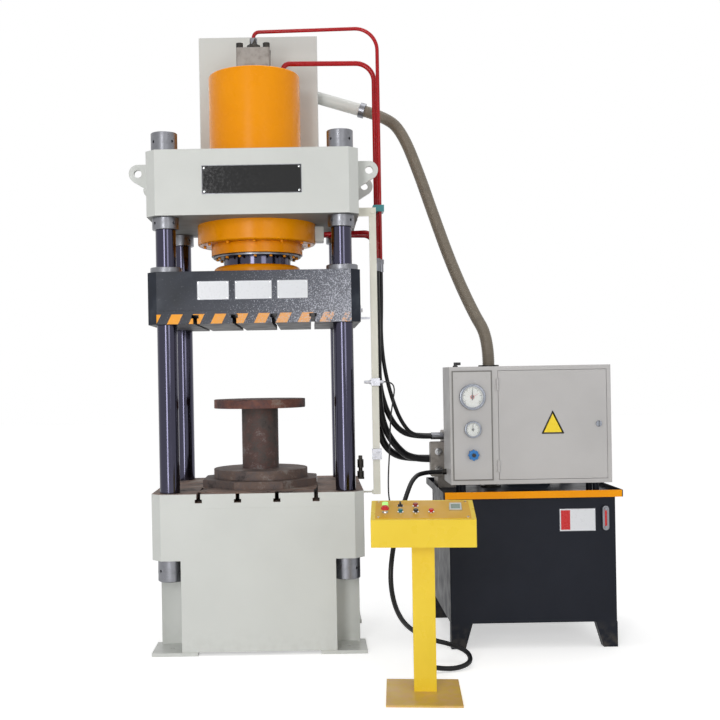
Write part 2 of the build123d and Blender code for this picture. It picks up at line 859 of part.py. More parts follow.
with BuildPart() as prefill_screws:
    with BuildSketch(Plane.XY.offset(valve_top)):
        with GridLocations(valve_bolt_spacing_x, valve_bolt_spacing_y, 2, 2):
            Circle(valve_bolt_radius)
            RegularPolygon(valve_bolt_radius / 2, 6, mode=Mode.SUBTRACT)
    extrude(amount=valve_bolt_head)
    with BuildSketch(Plane.XY.offset(valve_top)):
        with GridLocations(valve_bolt_spacing_x, valve_bolt_spacing_y, 2, 2):
            Circle(valve_bolt_radius)
    extrude(amount=valve_bolt_head / 3)

nipple_top = valve_top + plug_height + nipple_height
with BuildPart() as prefill_plug:
    with BuildSketch(Plane.XY.offset(valve_top)):
        RegularPolygon(plug_across / 2, 6, major_radius=False)
    extrude(amount=plug_height)
    with BuildSketch(Plane.XY.offset(valve_top + plug_height)):
        RegularPolygon(nipple_radius * 1.4, 6, major_radius=False)
    extrude(amount=nipple_height)

# Screws and plug of the cylinder as one group
with BuildPart() as cylinder_fittings:
    add(ring_screws.part)
    add(prefill_screws.part)
    add(prefill_plug.part)
cylinder_fittings.part.label = "cylinder_fittings"
export_step(cylinder_fittings.part, "parts/cylinder_fittings.step")

# Suction duct from the valve's rear face to the fill tank, with a bolted flange at each end
duct_height = barrel_top + duct_rise
with BuildPart() as suction_duct:
    rod((0, valve_depth / 2, duct_height), (0, tank_front, duct_height), duct_radius)
    rod((0, valve_depth / 2, duct_height), (0, valve_depth / 2 + duct_flange, duct_height),
        duct_flange_radius)
    rod((0, tank_front - duct_flange, duct_height), (0, tank_front, duct_height), duct_flange_radius)
    rod((0, valve_depth / 2, duct_height), (0, tank_front, duct_height), duct_radius - duct_wall,
        Mode.SUBTRACT)

# Fill tank: sheet-steel box behind the cylinder, with a lid and two feet that reach over the crown's rear
tank_high_x = tank_offset + tank_width / 2
with BuildPart() as tank_body:
    with BuildSketch(Plane.XY.offset(tank_bottom)):
        with Locations((tank_offset, tank_middle_y)):
            RectangleRounded(tank_width, tank_depth, tank_edge_round)
    extrude(amount=tank_top - tank_bottom - tank_lid_thickness)
    with BuildSketch(Plane.XY.offset(tank_bottom + tank_wall)):
        with Locations((tank_offset, tank_middle_y)):
            Rectangle(tank_width - 2 * tank_wall, tank_depth - 2 * tank_wall)
    extrude(amount=tank_top - tank_bottom, mode=Mode.SUBTRACT)
    rod((0, tank_front - 1, duct_height), (0, tank_front + tank_wall + 1, duct_height),
        duct_radius - duct_wall, Mode.SUBTRACT)
    rod((tank_high_x - tank_wall - 1, stub_tank_y, stub_tank_z), (tank_high_x + 1, stub_tank_y, stub_tank_z),
        stub_radius - stub_wall, Mode.SUBTRACT)

with BuildPart() as tank_lid:
    with BuildSketch(Plane.XY.offset(tank_top - tank_lid_thickness)):
        with Locations((tank_offset, tank_middle_y)):
            RectangleRounded(tank_width, tank_depth, tank_edge_round)
    extrude(amount=tank_lid_thickness)

with BuildPart() as tank_feet:
    for foot_x in (tank_offset - tank_width / 3, tank_offset + tank_width / 3):
        slab(
            (foot_x - tank_foot_width / 2, tank_front, crown_top),
            (foot_x + tank_foot_width / 2, tank_front + tank_depth, tank_bottom),
        )
        with BuildSketch(Plane.YZ.offset(foot_x - tank_foot_height / 2)):
            with BuildLine():
                Polyline(
                    (plan_depth / 2, crown_top),
                    (tank_front + tank_depth, crown_top),
                    (plan_depth / 2, crown_top - tank_gusset),
                    close=True,
                )
            make_face()
        extrude(amount=tank_foot_height)

# The tank is welded up from these
with BuildPart() as fill_tank:
    add(tank_body.part)
    add(tank_lid.part)
    add(tank_feet.part)
fill_tank.part.label = "fill_tank"
export_step(fill_tank.part, "parts/fill_tank.step")

# Return stub: steel pipe from the tank's right side, slanting down towards the corrugated hose
stub_start = Vector(tank_high_x, stub_tank_y, stub_tank_z)
stub_end = Vector(*return_hose_route[0])
stub_line = stub_end - stub_start
with BuildPart() as return_stub:
    with BuildSketch(Plane(origin=stub_end, z_dir=-stub_line)):
        Circle(stub_radius)
        Circle(stub_radius - stub_wall, mode=Mode.SUBTRACT)
    extrude(amount=stub_line.length + stub_radius)
    slab(
        (tank_high_x - 4 * stub_radius, stub_tank_y - 3 * stub_radius, stub_tank_z - 3 * stub_radius),
        (tank_high_x, stub_tank_y + 3 * stub_radius, stub_tank_z + 3 * stub_radius),
        Mode.SUBTRACT,
    )

stub_way = stub_line.normalized()
with BuildPart() as hose_clamp:
    with BuildSketch(Plane(origin=stub_end - stub_way * hose_clamp_width, z_dir=stub_way)):
        Circle(stub_radius + hose_clamp_wall)
        Circle(stub_radius + still_gap, mode=Mode.SUBTRACT)
    extrude(amount=hose_clamp_width)

# Pipes of the fill tank
with BuildPart() as tank_pipes:
    add(suction_duct.part)
    add(return_stub.part)
    add(hose_clamp.part)
tank_pipes.part.label = "tank_pipes"
export_step(tank_pipes.part, "parts/tank_pipes.step")

# Port block on the lock ring's side, with two outlets for the return-stroke pipes
port_height = crown_bottom - port_drop
port_face = lock_ring_radius + port_block_length
with BuildPart() as port_block:
    slab(
        (lock_ring_radius - port_bite, -port_block_width / 2, port_height - port_block_tall / 2),
        (port_face, port_block_width / 2, port_height + port_block_tall / 2),
    )
    chamfer(port_block.faces().sort_by(Axis.X)[-1].edges(), nut_edge)
    with BuildSketch(Plane.XY.offset(lock_ring_bottom - 1)):
        Circle(lock_ring_radius + still_gap)
    extrude(amount=lock_ring_height + 2, mode=Mode.SUBTRACT)


def bent_tube(points, radius, bends, wall=0.0):
    """Tube of round section along straight runs that are joined by bends."""
    with BuildPart() as tube:
        with BuildLine() as path:
            FilletPolyline(*points, radius=bends)
        start_plane = Plane(origin=path.line @ 0, z_dir=path.line % 0)
        with BuildSketch(start_plane):
            Circle(radius)
            if wall > 0:
                Circle(radius - wall, mode=Mode.SUBTRACT)
        sweep()
    return tube


# Four steel pipes to the cylinder
upper_pipe_height = nipple_top + upper_pipe_rise
middle_pipe_height = barrel_top + middle_pipe_rise
pipe_upper = bent_tube(
    [
        (0, 0, nipple_top),
        (0, 0, upper_pipe_height),
        (upper_pipe_x, upper_pipe_y, upper_pipe_height),
        (upper_pipe_x, upper_pipe_y, pipe_end_height),
    ],
    upper_pipe_radius,
    [3.2 * upper_pipe_radius, pipe_big_bend],
)
pipe_upper.part.label = "pipe_upper"
export_step(pipe_upper.part, "parts/pipe_upper.step")

pipe_middle = bent_tube(
    [
        (middle_pipe_port_x, 0, barrel_top),
        (middle_pipe_port_x, 0, middle_pipe_height),
        (middle_pipe_x, middle_pipe_y, middle_pipe_height),
        (middle_pipe_x, middle_pipe_y, pipe_end_height),
    ],
    middle_pipe_radius,
    [2.6 * middle_pipe_radius, pipe_big_bend - 25],
)
pipe_middle.part.label = "pipe_middle"
export_step(pipe_middle.part, "parts/pipe_middle.step")

pipe_lower = bent_tube(
    [
        (port_face, -port_spread_y / 2, port_height),
        (lower_pipe_x, lower_pipe_y, port_height),
        (lower_pipe_x, lower_pipe_y, pipe_end_height),
    ],
    lower_pipe_radius,
    [pipe_small_bend],
)

pipe_rear = bent_tube(
    [
        (port_face, port_spread_y / 2, port_height),
        (rear_pipe_x, rear_pipe_y, port_height),
        (rear_pipe_x, rear_pipe_y, pipe_end_height),
    ],
    lower_pipe_radius,
    [pipe_small_bend],
)

# Port block with its two pipes
with BuildPart() as lower_pipes:
    add(port_block.part)
    add(pipe_lower.part)
    add(pipe_rear.part)
lower_pipes.part.label = "lower_pipes"
export_step(lower_pipes.part, "parts/lower_pipes.step")

# Hose ends: a nut and a crimped sleeve below each pipe and at each port of the valve manifold
pipe_ends = [
    (upper_pipe_x, upper_pipe_y, pressure_hose_radius),
    (middle_pipe_x, middle_pipe_y, main_hose_radius),
    (lower_pipe_x, lower_pipe_y, return_line_radius),
    (rear_pipe_x, rear_pipe_y, return_line_radius),
]
with BuildPart() as pipe_hose_ends:
    for end_x, end_y, hose_radius in pipe_ends:
        with BuildSketch(Plane.XY.offset(pipe_end_height)):
            with Locations((end_x, end_y)):
                RegularPolygon(hose_radius + hose_nut_wall, 6)
        extrude(amount=-hose_nut_length)
        with BuildSketch(Plane.XY.offset(pipe_end_height - hose_nut_length)):
            with Locations((end_x, end_y)):
                Circle(hose_radius + hose_sleeve_wall)
        extrude(amount=-hose_sleeve_length)

# Pipe clamp: block round the two tall pipes on an arm from the crown's side
with BuildPart() as pipe_clamp:
    slab(
        (middle_pipe_x - clamp_margin, upper_pipe_y - clamp_margin, clamp_height),
        (upper_pipe_x + clamp_margin, middle_pipe_y + clamp_margin, clamp_height + clamp_tall),
    )
    slab(
        (side_face, upper_pipe_y - clamp_arm_width / 2, clamp_height),
        (middle_pipe_x - clamp_margin, upper_pipe_y + clamp_arm_width / 2,
         clamp_height + clamp_arm_thickness),
    )
    slab(
        (side_face, upper_pipe_y - clamp_arm_width / 2, clamp_height - clamp_foot),
        (side_face + clamp_arm_thickness, upper_pipe_y + clamp_arm_width / 2, clamp_height),
    )
    rod((upper_pipe_x, upper_pipe_y, clamp_height - 1),
        (upper_pipe_x, upper_pipe_y, clamp_height + clamp_tall + 1),
        upper_pipe_radius + still_gap, Mode.SUBTRACT)
    rod((middle_pipe_x, middle_pipe_y, clamp_height - 1),
        (middle_pipe_x, middle_pipe_y, clamp_height + clamp_tall + 1),
        middle_pipe_radius + still_gap, Mode.SUBTRACT)

# Limit-switch rail: channel that stands beside the press, open to the rear
with BuildPart() as rail_channel:
    with BuildSketch(Plane.XY.offset(rail_bottom)):
        with Locations((rail_x, rail_y)):
            Rectangle(rail_width, rail_depth)
        with Locations((rail_x, rail_y + rail_wall)):
            Rectangle(rail_width - 2 * rail_wall, rail_depth, mode=Mode.SUBTRACT)
    extrude(amount=rail_top - rail_bottom)

# Rail brackets: angle arm at the crown, threaded rod with two nuts at the bed
rail_front = rail_y - rail_depth / 2
rail_left = rail_x - rail_width / 2
with BuildPart() as rail_brackets:
    slab(
        (side_face, rail_front - rail_arm_thickness, rail_top - rail_arm_tall),
        (rail_x + rail_width / 2, rail_front, rail_top),
    )
    slab(
        (side_face, rail_front - rail_arm_thickness, rail_top - rail_arm_tall),
        (side_face + rail_arm_thickness, rail_front + rail_arm_tall, rail_top),
    )
    rod((rail_x, rail_front - rail_arm_thickness, rail_top - rail_arm_tall / 2),
        (rail_x, rail_front - rail_arm_thickness - small_nut_height, rail_top - rail_arm_tall / 2),
        small_nut_radius)
    rod((side_face, rail_y, rail_rod_height), (rail_left, rail_y, rail_rod_height), rail_rod_radius)
    for nut_x in (side_face, rail_left - small_nut_height):
        with BuildSketch(Plane.YZ.offset(nut_x)):
            with Locations((rail_y, rail_rod_height)):
                RegularPolygon(small_nut_radius, 6)
        extrude(amount=small_nut_height)

# Rail with its brackets
with BuildPart() as limit_rail:
    add(rail_channel.part)
    add(rail_brackets.part)
limit_rail.part.label = "limit_rail"
export_step(limit_rail.part, "parts/limit_rail.step")

# Switches on the rail: a threaded proximity sensor and a limit switch in a clip with two screws
with BuildPart() as sensor_clip:
    slab(
        (rail_left - 6, rail_front - sensor_clip_depth, sensor_height - sensor_clip_tall / 2),
        (rail_x + rail_width / 2 + 6, rail_front, sensor_height + sensor_clip_tall / 2),
    )
    slab(
        (rail_left - 6, rail_front - sensor_clip_depth, lower_clip_height - lower_clip_tall / 2),
        (rail_x + rail_width / 2 + 10, rail_front, lower_clip_height + lower_clip_tall / 2),
    )
    for screw_side, screw_level in ((-1, -1), (1, 1)):
        rod(
            (rail_x + screw_side * 12, rail_front - sensor_clip_depth, lower_clip_height + screw_level * 14),
            (rail_x + screw_side * 12, rail_front - sensor_clip_depth - 5,
             lower_clip_height + screw_level * 14),
            6,
        )
    rod((rail_left - 8, rail_front - sensor_clip_depth / 2, sensor_height),
        (rail_x + rail_width / 2 + 8, rail_front - sensor_clip_depth / 2, sensor_height),
        sensor_radius + still_gap, Mode.SUBTRACT)

with BuildPart() as proximity_sensor:
    sensor_y = rail_front - sensor_clip_depth / 2
    rod((rail_left - sensor_reach, sensor_y, sensor_height), (sensor_end_x, sensor_y, sensor_height),
        sensor_radius)
    rod((rail_left - 6 - still_gap, sensor_y, sensor_height), (rail_left - 14, sensor_y, sensor_height),
        sensor_radius * 1.45)
    rod((rail_left - sensor_reach, sensor_y, sensor_height),
        (rail_left - sensor_reach - 8, sensor_y, sensor_height),
        sensor_radius - 1.5)

# Both switches
with BuildPart() as limit_switches:
    add(sensor_clip.part)
    add(proximity_sensor.part)
limit_switches.part.label = "limit_switches"
export_step(limit_switches.part, "parts/limit_switches.step")

# Oil-line union behind the bed's right side: stepped plug on a small bracket
with BuildPart() as rear_union:
    slab(
        (side_face, union_y - union_foot / 2, union_base - 12),
        (side_face + union_foot, union_y + union_foot / 2, union_base),
    )
    with BuildSketch(Plane.XY.offset(union_base)):
        with Locations((side_face + union_foot / 2, union_y)):
            Circle(union_radius)
    extrude(amount=union_tall * 0.28)
    with BuildSketch(Plane.XY.offset(union_base + union_tall * 0.28)):
        with Locations((side_face + union_foot / 2, union_y)):
            Circle(union_radius * 0.6)
    extrude(amount=union_tall * 0.16)
    with BuildSketch(Plane.XY.offset(union_base + union_tall * 0.44)):
        with Locations((side_face + union_foot / 2, union_y)):
            Circle(union_radius * 0.92)
    extrude(amount=union_tall * 0.38)
    with BuildSketch(Plane.XY.offset(union_base + union_tall * 0.82)):
        with Locations((side_face + union_foot / 2, union_y)):
            RegularPolygon(union_radius * 0.6, 6)
    extrude(amount=union_tall * 0.18)
rear_union.part.label = "rear_union"
export_step(rear_union.part, "parts/rear_union.step")

# Tooling that stands on the bed: loose scale sheets, octagonal plate, base disc, post, top disc
octagon_top = bed_height + scale_sheet_thickness + octagon_thickness
base_disc_top = octagon_top + base_disc_thickness
tool_top = bed_height + tool_height
with BuildPart() as scale_sheets:
    with BuildSketch(Plane.XY.offset(bed_height)):
        with BuildLine():
            Polyline(
                (-320, -250), (-345, -395), (-250, -440), (-140, -478), (-20, -470), (60, -430), (190, -448),
                (215, -360), (330, -300), (345, 60), (250, 300), (-60, 345), (-300, 250), (-370, 20),
                close=True,
            )
        make_face()
    extrude(amount=scale_sheet_thickness)
scale_sheets.part.label = "scale_sheets"
export_step(scale_sheets.part, "parts/scale_sheets.step")

with BuildPart() as octagon_plate:
    with BuildSketch(Plane.XY.offset(bed_height + scale_sheet_thickness)):
        RegularPolygon(octagon_across / 2, 8, major_radius=False, rotation=22.5)
    extrude(amount=octagon_thickness)
    chamfer(octagon_plate.faces().sort_by(Axis.Z)[-1].edges(), octagon_edge)
octagon_plate.part.label = "octagon_plate"
export_step(octagon_plate.part, "parts/octagon_plate.step")

with BuildPart() as base_disc:
    with BuildSketch(Plane.XY.offset(octagon_top)):
        Circle(base_disc_radius)
    extrude(amount=base_disc_thickness)
    chamfer(base_disc.edges().filter_by(GeomType.CIRCLE), disc_edge)

with BuildPart() as tool_post:
    with BuildSketch(Plane.XY.offset(base_disc_top)):
        Circle(tool_post_radius)
    extrude(amount=tool_top - top_disc_thickness - base_disc_top)

with BuildPart() as top_disc:
    with BuildSketch(Plane.XY.offset(tool_top - top_disc_thickness)):
        Circle(top_disc_radius)
    extrude(amount=top_disc_thickness)
    chamfer(top_disc.edges().filter_by(GeomType.CIRCLE), disc_edge)

# Spool-shaped stand, welded from two discs and the post
with BuildPart() as tool_stand:
    add(base_disc.part)
    add(tool_post.part)
    add(top_disc.part)
tool_stand.part.label = "tool_stand"
export_step(tool_stand.part, "parts/tool_stand.step")

# Oil tank: sheet-steel box on four tapered legs
unit_low_x = unit_x - unit_width / 2
unit_high_x = unit_x + unit_width / 2
unit_back = unit_front + unit_depth
unit_middle_y = unit_front + unit_depth / 2
rim_bottom = leg_height + oil_tank_height
tray_floor = rim_bottom + tray_thickness
with BuildPart() as oil_box:
    with BuildSketch(Plane.XY.offset(leg_height)):
        with Locations((unit_x, unit_middle_y)):
            RectangleRounded(unit_width, unit_depth, unit_edge_round)
    extrude(amount=oil_tank_height)
    with BuildSketch(Plane.XY.offset(leg_height + oil_tank_wall)):
        with Locations((unit_x, unit_middle_y)):
            Rectangle(unit_width - 2 * oil_tank_wall, unit_depth - 2 * oil_tank_wall)
    extrude(amount=oil_tank_height, mode=Mode.SUBTRACT)

with BuildPart() as tank_legs:
    for leg_y in (unit_front, unit_back - leg_depth):
        with BuildSketch(Plane.XZ.offset(-leg_y)):
            with BuildLine():
                Polyline(
                    (unit_low_x, leg_height),
                    (unit_low_x, 0),
                    (unit_low_x + leg_foot_width, 0),
                    (unit_low_x + leg_head_width, leg_height),
                    close=True,
                )
            make_face()
            with BuildLine():
                Polyline(
                    (unit_high_x, leg_height),
                    (unit_high_x, 0),
                    (unit_high_x - leg_foot_width, 0),
                    (unit_high_x - leg_head_width, leg_height),
                    close=True,
                )
            make_face()
        extrude(amount=-leg_depth)

# Tank with its welded legs
with BuildPart() as oil_tank:
    add(oil_box.part)
    add(tank_legs.part)
oil_tank.part.label = "oil_tank"
export_step(oil_tank.part, "parts/oil_tank.step")

# Rim tray: top plate of the tank with an upstand all round that catches spilt oil
with BuildPart() as rim_tray:
    with BuildSketch(Plane.XY.offset(rim_bottom)):
        with Locations((unit_x, unit_middle_y)):
            RectangleRounded(unit_width + 2 * rim_overhang, unit_depth + 2 * rim_overhang, rim_overhang / 3)
    extrude(amount=rim_height)
    with BuildSketch(Plane.XY.offset(tray_floor)):
        with Locations((unit_x, unit_middle_y)):
            Rectangle(
                unit_width + 2 * rim_overhang - 2 * rim_lip, unit_depth + 2 * rim_overhang - 2 * rim_lip
            )
    extrude(amount=rim_height, mode=Mode.SUBTRACT)
    rod((standpipe_x, standpipe_y, rim_bottom - 1), (standpipe_x, standpipe_y, tray_floor + 1),
        standpipe_radius - standpipe_wall, Mode.SUBTRACT)
    rod((breather_x, breather_y, rim_bottom - 1), (breather_x, breather_y, tray_floor + 1),
        breather_neck_radius - 4, Mode.SUBTRACT)
rim_tray.part.label = "rim_tray"
export_step(rim_tray.part, "parts/rim_tray.step")

# Level gauge and plain plate on the tank's front
with BuildPart() as level_gauge:
    with BuildSketch(Plane.XZ.offset(-unit_front)):
        with Locations((level_gauge_x, level_gauge_z)):
            SlotOverall(level_gauge_tall, level_gauge_width, rotation=90)
    extrude(amount=level_gauge_depth)
    with BuildSketch(Plane.XZ.offset(-unit_front + level_gauge_depth)):
        with Locations((level_gauge_x, level_gauge_z)):
            SlotOverall(level_gauge_tall * 0.62, level_gauge_width * 0.36, rotation=90)
    extrude(amount=-3, mode=Mode.SUBTRACT)
    with BuildSketch(Plane.XZ.offset(-unit_front + level_gauge_depth)):
        with Locations((level_gauge_x, level_gauge_z)):
            with GridLocations(0, level_gauge_tall - level_gauge_width, 1, 2):
                RegularPolygon(9, 6)
    extrude(amount=6)

# Return standpipe behind the cabinet, with the flange that takes the corrugated hose
with BuildPart() as return_standpipe:
    rod((standpipe_x, standpipe_y, tray_floor), (standpipe_x, standpipe_y, standpipe_top), standpipe_radius)
    rod((standpipe_x, standpipe_y, tray_floor), (standpipe_x, standpipe_y, tray_floor + 12),
        standpipe_flange_radius)
    rod((standpipe_x, standpipe_y, standpipe_top - 14), (standpipe_x, standpipe_y, standpipe_top),
        standpipe_flange_radius)
    rod((standpipe_x, standpipe_y, tray_floor - 1), (standpipe_x, standpipe_y, standpipe_top + 1),
        standpipe_radius - standpipe_wall, Mode.SUBTRACT)

# Filler neck and its breather cap
with BuildPart() as filler_neck:
    rod((breather_x, breather_y, tray_floor), (breather_x, breather_y, tray_floor + breather_neck_height),
        breather_neck_radius)
    rod((breather_x, breather_y, tray_floor), (breather_x, breather_y, tray_floor + 6), breather_cap_radius)
    rod((breather_x, breather_y, tray_floor - 1),
        (breather_x, breather_y, tray_floor + breather_neck_height + 1),
        breather_neck_radius - 4, Mode.SUBTRACT)

breather_base = tray_floor + breather_neck_height
with BuildPart() as breather_cap:
    with BuildSketch(Plane.XY.offset(breather_base)):
        with Locations((breather_x, breather_y)):
            Circle(breather_cap_radius)
    extrude(amount=breather_cap_height)
    fillet(breather_cap.edges().filter_by(GeomType.CIRCLE).group_by(Axis.Z)[-1], 8)

# Fittings of the oil tank
with BuildPart() as tank_fittings:
    add(level_gauge.part)
    add(return_standpipe.part)
    add(filler_neck.part)
    add(breather_cap.part)
tank_fittings.part.label = "tank_fittings"
export_step(tank_fittings.part, "parts/tank_fittings.step")

# Electric motor with cooling fins, lying along the tank behind the cabinet
motor_axis_z = tray_floor + motor_centre_height
motor_bore = motor_radius - motor_shell
with BuildPart() as motor_frame:
    motor_plane = Plane(origin=(motor_x, motor_y, motor_axis_z), x_dir=(0, 1, 0), z_dir=(1, 0, 0))
    with BuildSketch(motor_plane):
        Circle(motor_radius)
    extrude(amount=motor_length)
    with BuildSketch(motor_plane.offset(motor_fin_margin)):
        with PolarLocations(motor_radius, motor_fin_count):
            Rectangle(2 * motor_fin_height, motor_fin_thickness)
    extrude(amount=motor_length - 2 * motor_fin_margin)
    slab(
        (motor_x + motor_fin_margin, motor_y - motor_foot_spread / 2, tray_floor),
        (motor_x + motor_length - motor_fin_margin, motor_y + motor_foot_spread / 2,
         tray_floor + motor_foot_thickness),
    )
    slab(
        (motor_x + motor_fin_margin, motor_y - motor_foot_spread / 3, tray_floor),
        (motor_x + motor_length - motor_fin_margin, motor_y + motor_foot_spread / 3,
         motor_axis_z - motor_bore),
    )
    slab(
        (motor_x + motor_length * 0.3, motor_y - terminal_box_width / 2, motor_axis_z),
        (motor_x + motor_length * 0.3 + terminal_box_length, motor_y + terminal_box_width / 2,
         motor_axis_z + motor_radius + terminal_box_rise),
    )
    with BuildSketch(motor_plane.offset(-1)):
        Circle(motor_shaft_radius + running_gap)
    extrude(amount=motor_length + 2, mode=Mode.SUBTRACT)
    with BuildSketch(motor_plane.offset(motor_shell)):
        Circle(motor_bore)
    extrude(amount=motor_length - 2 * motor_shell, mode=Mode.SUBTRACT)

# Rotor with its shaft, cooling fan and coupling half
with BuildPart() as motor_rotor:
    with BuildSketch(motor_plane.offset(-coupling_length - coupling_gap)):
        Circle(motor_shaft_radius)
    extrude(amount=motor_length + coupling_length + coupling_gap + fan_space)
    with BuildSketch(motor_plane.offset(motor_shell + travel_gap)):
        Circle(motor_bore - travel_gap)
    extrude(amount=motor_length - 2 * motor_shell - 2 * travel_gap)
    with BuildSketch(motor_plane.offset(-coupling_length - coupling_gap)):
        Circle(coupling_radius)
    extrude(amount=coupling_length)
    with BuildSketch(motor_plane.offset(motor_length + travel_gap)):
        Circle(fan_hub_radius)
        with PolarLocations(fan_radius / 2, fan_blade_count):
            Rectangle(fan_radius, fan_blade_thickness)
    extrude(amount=fan_depth)
motor_rotor.part.label = "motor_rotor"
export_step(motor_rotor.part, "parts/motor_rotor.step")

# Fan cowl with a ring of air slots in its end face
with BuildPart() as fan_cowl:
    cowl_plane = motor_plane.offset(motor_length)
    with BuildSketch(cowl_plane):
        Circle(motor_radius)
    extrude(amount=fan_space + cowl_clear)
    fillet(fan_cowl.edges().filter_by(GeomType.CIRCLE).sort_by(Axis.X)[-1], 14)
    with BuildSketch(cowl_plane):
        Circle(motor_radius - cowl_wall)
    extrude(amount=fan_space + cowl_clear - cowl_wall, mode=Mode.SUBTRACT)
    with BuildSketch(cowl_plane):
        with PolarLocations(fan_radius * 0.62, fan_blade_count * 2):
            SlotOverall(fan_radius * 0.5, 9)
    extrude(amount=fan_space + cowl_clear + 1, mode=Mode.SUBTRACT)

# Motor frame with its fan cowl
with BuildPart() as motor_housing:
    add(motor_frame.part)
    add(fan_cowl.part)
motor_housing.part.label = "motor_housing"
export_step(motor_housing.part, "parts/motor_housing.step")

# Bell housing and pump in line with the motor
with BuildPart() as bell_housing:
    with BuildSketch(motor_plane):
        Circle(motor_radius * 0.86)
    extrude(amount=-bell_flange)
    with BuildSketch(motor_plane.offset(-bell_flange)):
        Circle(coupling_radius + bell_clear + bell_wall)
    extrude(amount=-(bell_length - bell_flange))
    with BuildSketch(motor_plane):
        Circle(coupling_radius + bell_clear)
    extrude(amount=-bell_length, mode=Mode.SUBTRACT)
    with BuildSketch(Plane.XZ.offset(-motor_y)):
        with Locations((motor_x - bell_length / 2, motor_axis_z)):
            SlotOverall(bell_length * 0.45, coupling_radius)
    extrude(amount=motor_radius * 2, both=True, mode=Mode.SUBTRACT)

with BuildPart() as pump_body:
    pump_plane = motor_plane.offset(-bell_length)
    with BuildSketch(pump_plane):
        Circle(motor_radius * 0.62)
    extrude(amount=-pump_flange)
    with BuildSketch(pump_plane.offset(-pump_flange)):
        Circle(pump_radius)
    extrude(amount=-(pump_length - pump_flange))
    fillet(pump_body.edges().filter_by(GeomType.CIRCLE).sort_by(Axis.X)[0], 12)
    slab(
        (motor_x - bell_length - pump_length * 0.7, motor_y - pump_radius - 22, motor_axis_z - 30),
        (motor_x - bell_length - pump_length * 0.35, motor_y, motor_axis_z + 30),
    )
    slab(
        (motor_x - bell_length - pump_flange - 16, motor_y - 50, tray_floor),
        (motor_x - bell_length - pump_flange, motor_y + 50, motor_axis_z - pump_radius * 0.5),
    )

# Pump on its bell housing
with BuildPart() as pump:
    add(bell_housing.part)
    add(pump_body.part)
pump.part.label = "pump"
export_step(pump.part, "parts/pump.step")

# Valve manifold: drilled rear block for the hoses, front block with two round cartridge plugs
manifold_low_x = manifold_x - manifold_width / 2
manifold_front_y = manifold_y - manifold_depth / 2
cartridge_x = manifold_low_x - manifold_front_width / 2
with BuildPart() as valve_manifold:
    slab(
        (manifold_low_x, manifold_front_y, manifold_bottom),
        (manifold_low_x + manifold_width, manifold_front_y + manifold_depth, manifold_top),
    )
    slab(
        (manifold_low_x - manifold_front_width, manifold_front_y, manifold_bottom),
        (manifold_low_x, manifold_front_y + manifold_front_depth, manifold_top - manifold_front_drop),
    )
    chamfer(valve_manifold.edges().filter_by(Axis.Y), manifold_edge)
    slab(
        (manifold_low_x - manifold_front_width / 2, manifold_front_y + 10, tray_floor),
        (manifold_low_x + manifold_width - 10, manifold_front_y + manifold_depth - 10, manifold_bottom),
    )
    for plug_level in manifold_plug_levels:
        plug_end = manifold_front_y - manifold_plug_length
        rod((cartridge_x, manifold_front_y, plug_level), (cartridge_x, plug_end, plug_level),
            manifold_plug_radius)
        rod((cartridge_x, plug_end + 8, plug_level), (cartridge_x, plug_end - 1, plug_level),
            manifold_plug_radius * 0.5, Mode.SUBTRACT)
valve_manifold.part.label = "valve_manifold"
export_step(valve_manifold.part, "parts/valve_manifold.step")

# Hose ends at the manifold's left face
manifold_ports = [
    (hose_a_port_y, upper_port_height, pressure_hose_radius),
    (hose_b_port_y, upper_port_height, main_hose_radius),
    (hose_c_port_y, lower_port_height, return_line_radius),
    (hose_d_port_y, lower_port_height, return_line_radius),
]
with BuildPart() as manifold_hose_ends:
    for port_y, port_z, hose_radius in manifold_ports:
        with BuildSketch(Plane.YZ.offset(manifold_low_x)):
            with Locations((port_y, port_z)):
                RegularPolygon(hose_radius + hose_nut_wall, 6)
        extrude(amount=-manifold_nut_length)
        with BuildSketch(Plane.YZ.offset(manifold_low_x - manifold_nut_length)):
            with Locations((port_y, port_z)):
                Circle(hose_radius + hose_sleeve_wall)
        extrude(amount=-manifold_sleeve_length)

# Hose ends and the pipe clamp as one group
with BuildPart() as pipe_fittings:
    add(pipe_hose_ends.part)
    add(manifold_hose_ends.part)
    add(pipe_clamp.part)
pipe_fittings.part.label = "pipe_fittings"
export_step(pipe_fittings.part, "parts/pipe_fittings.step")

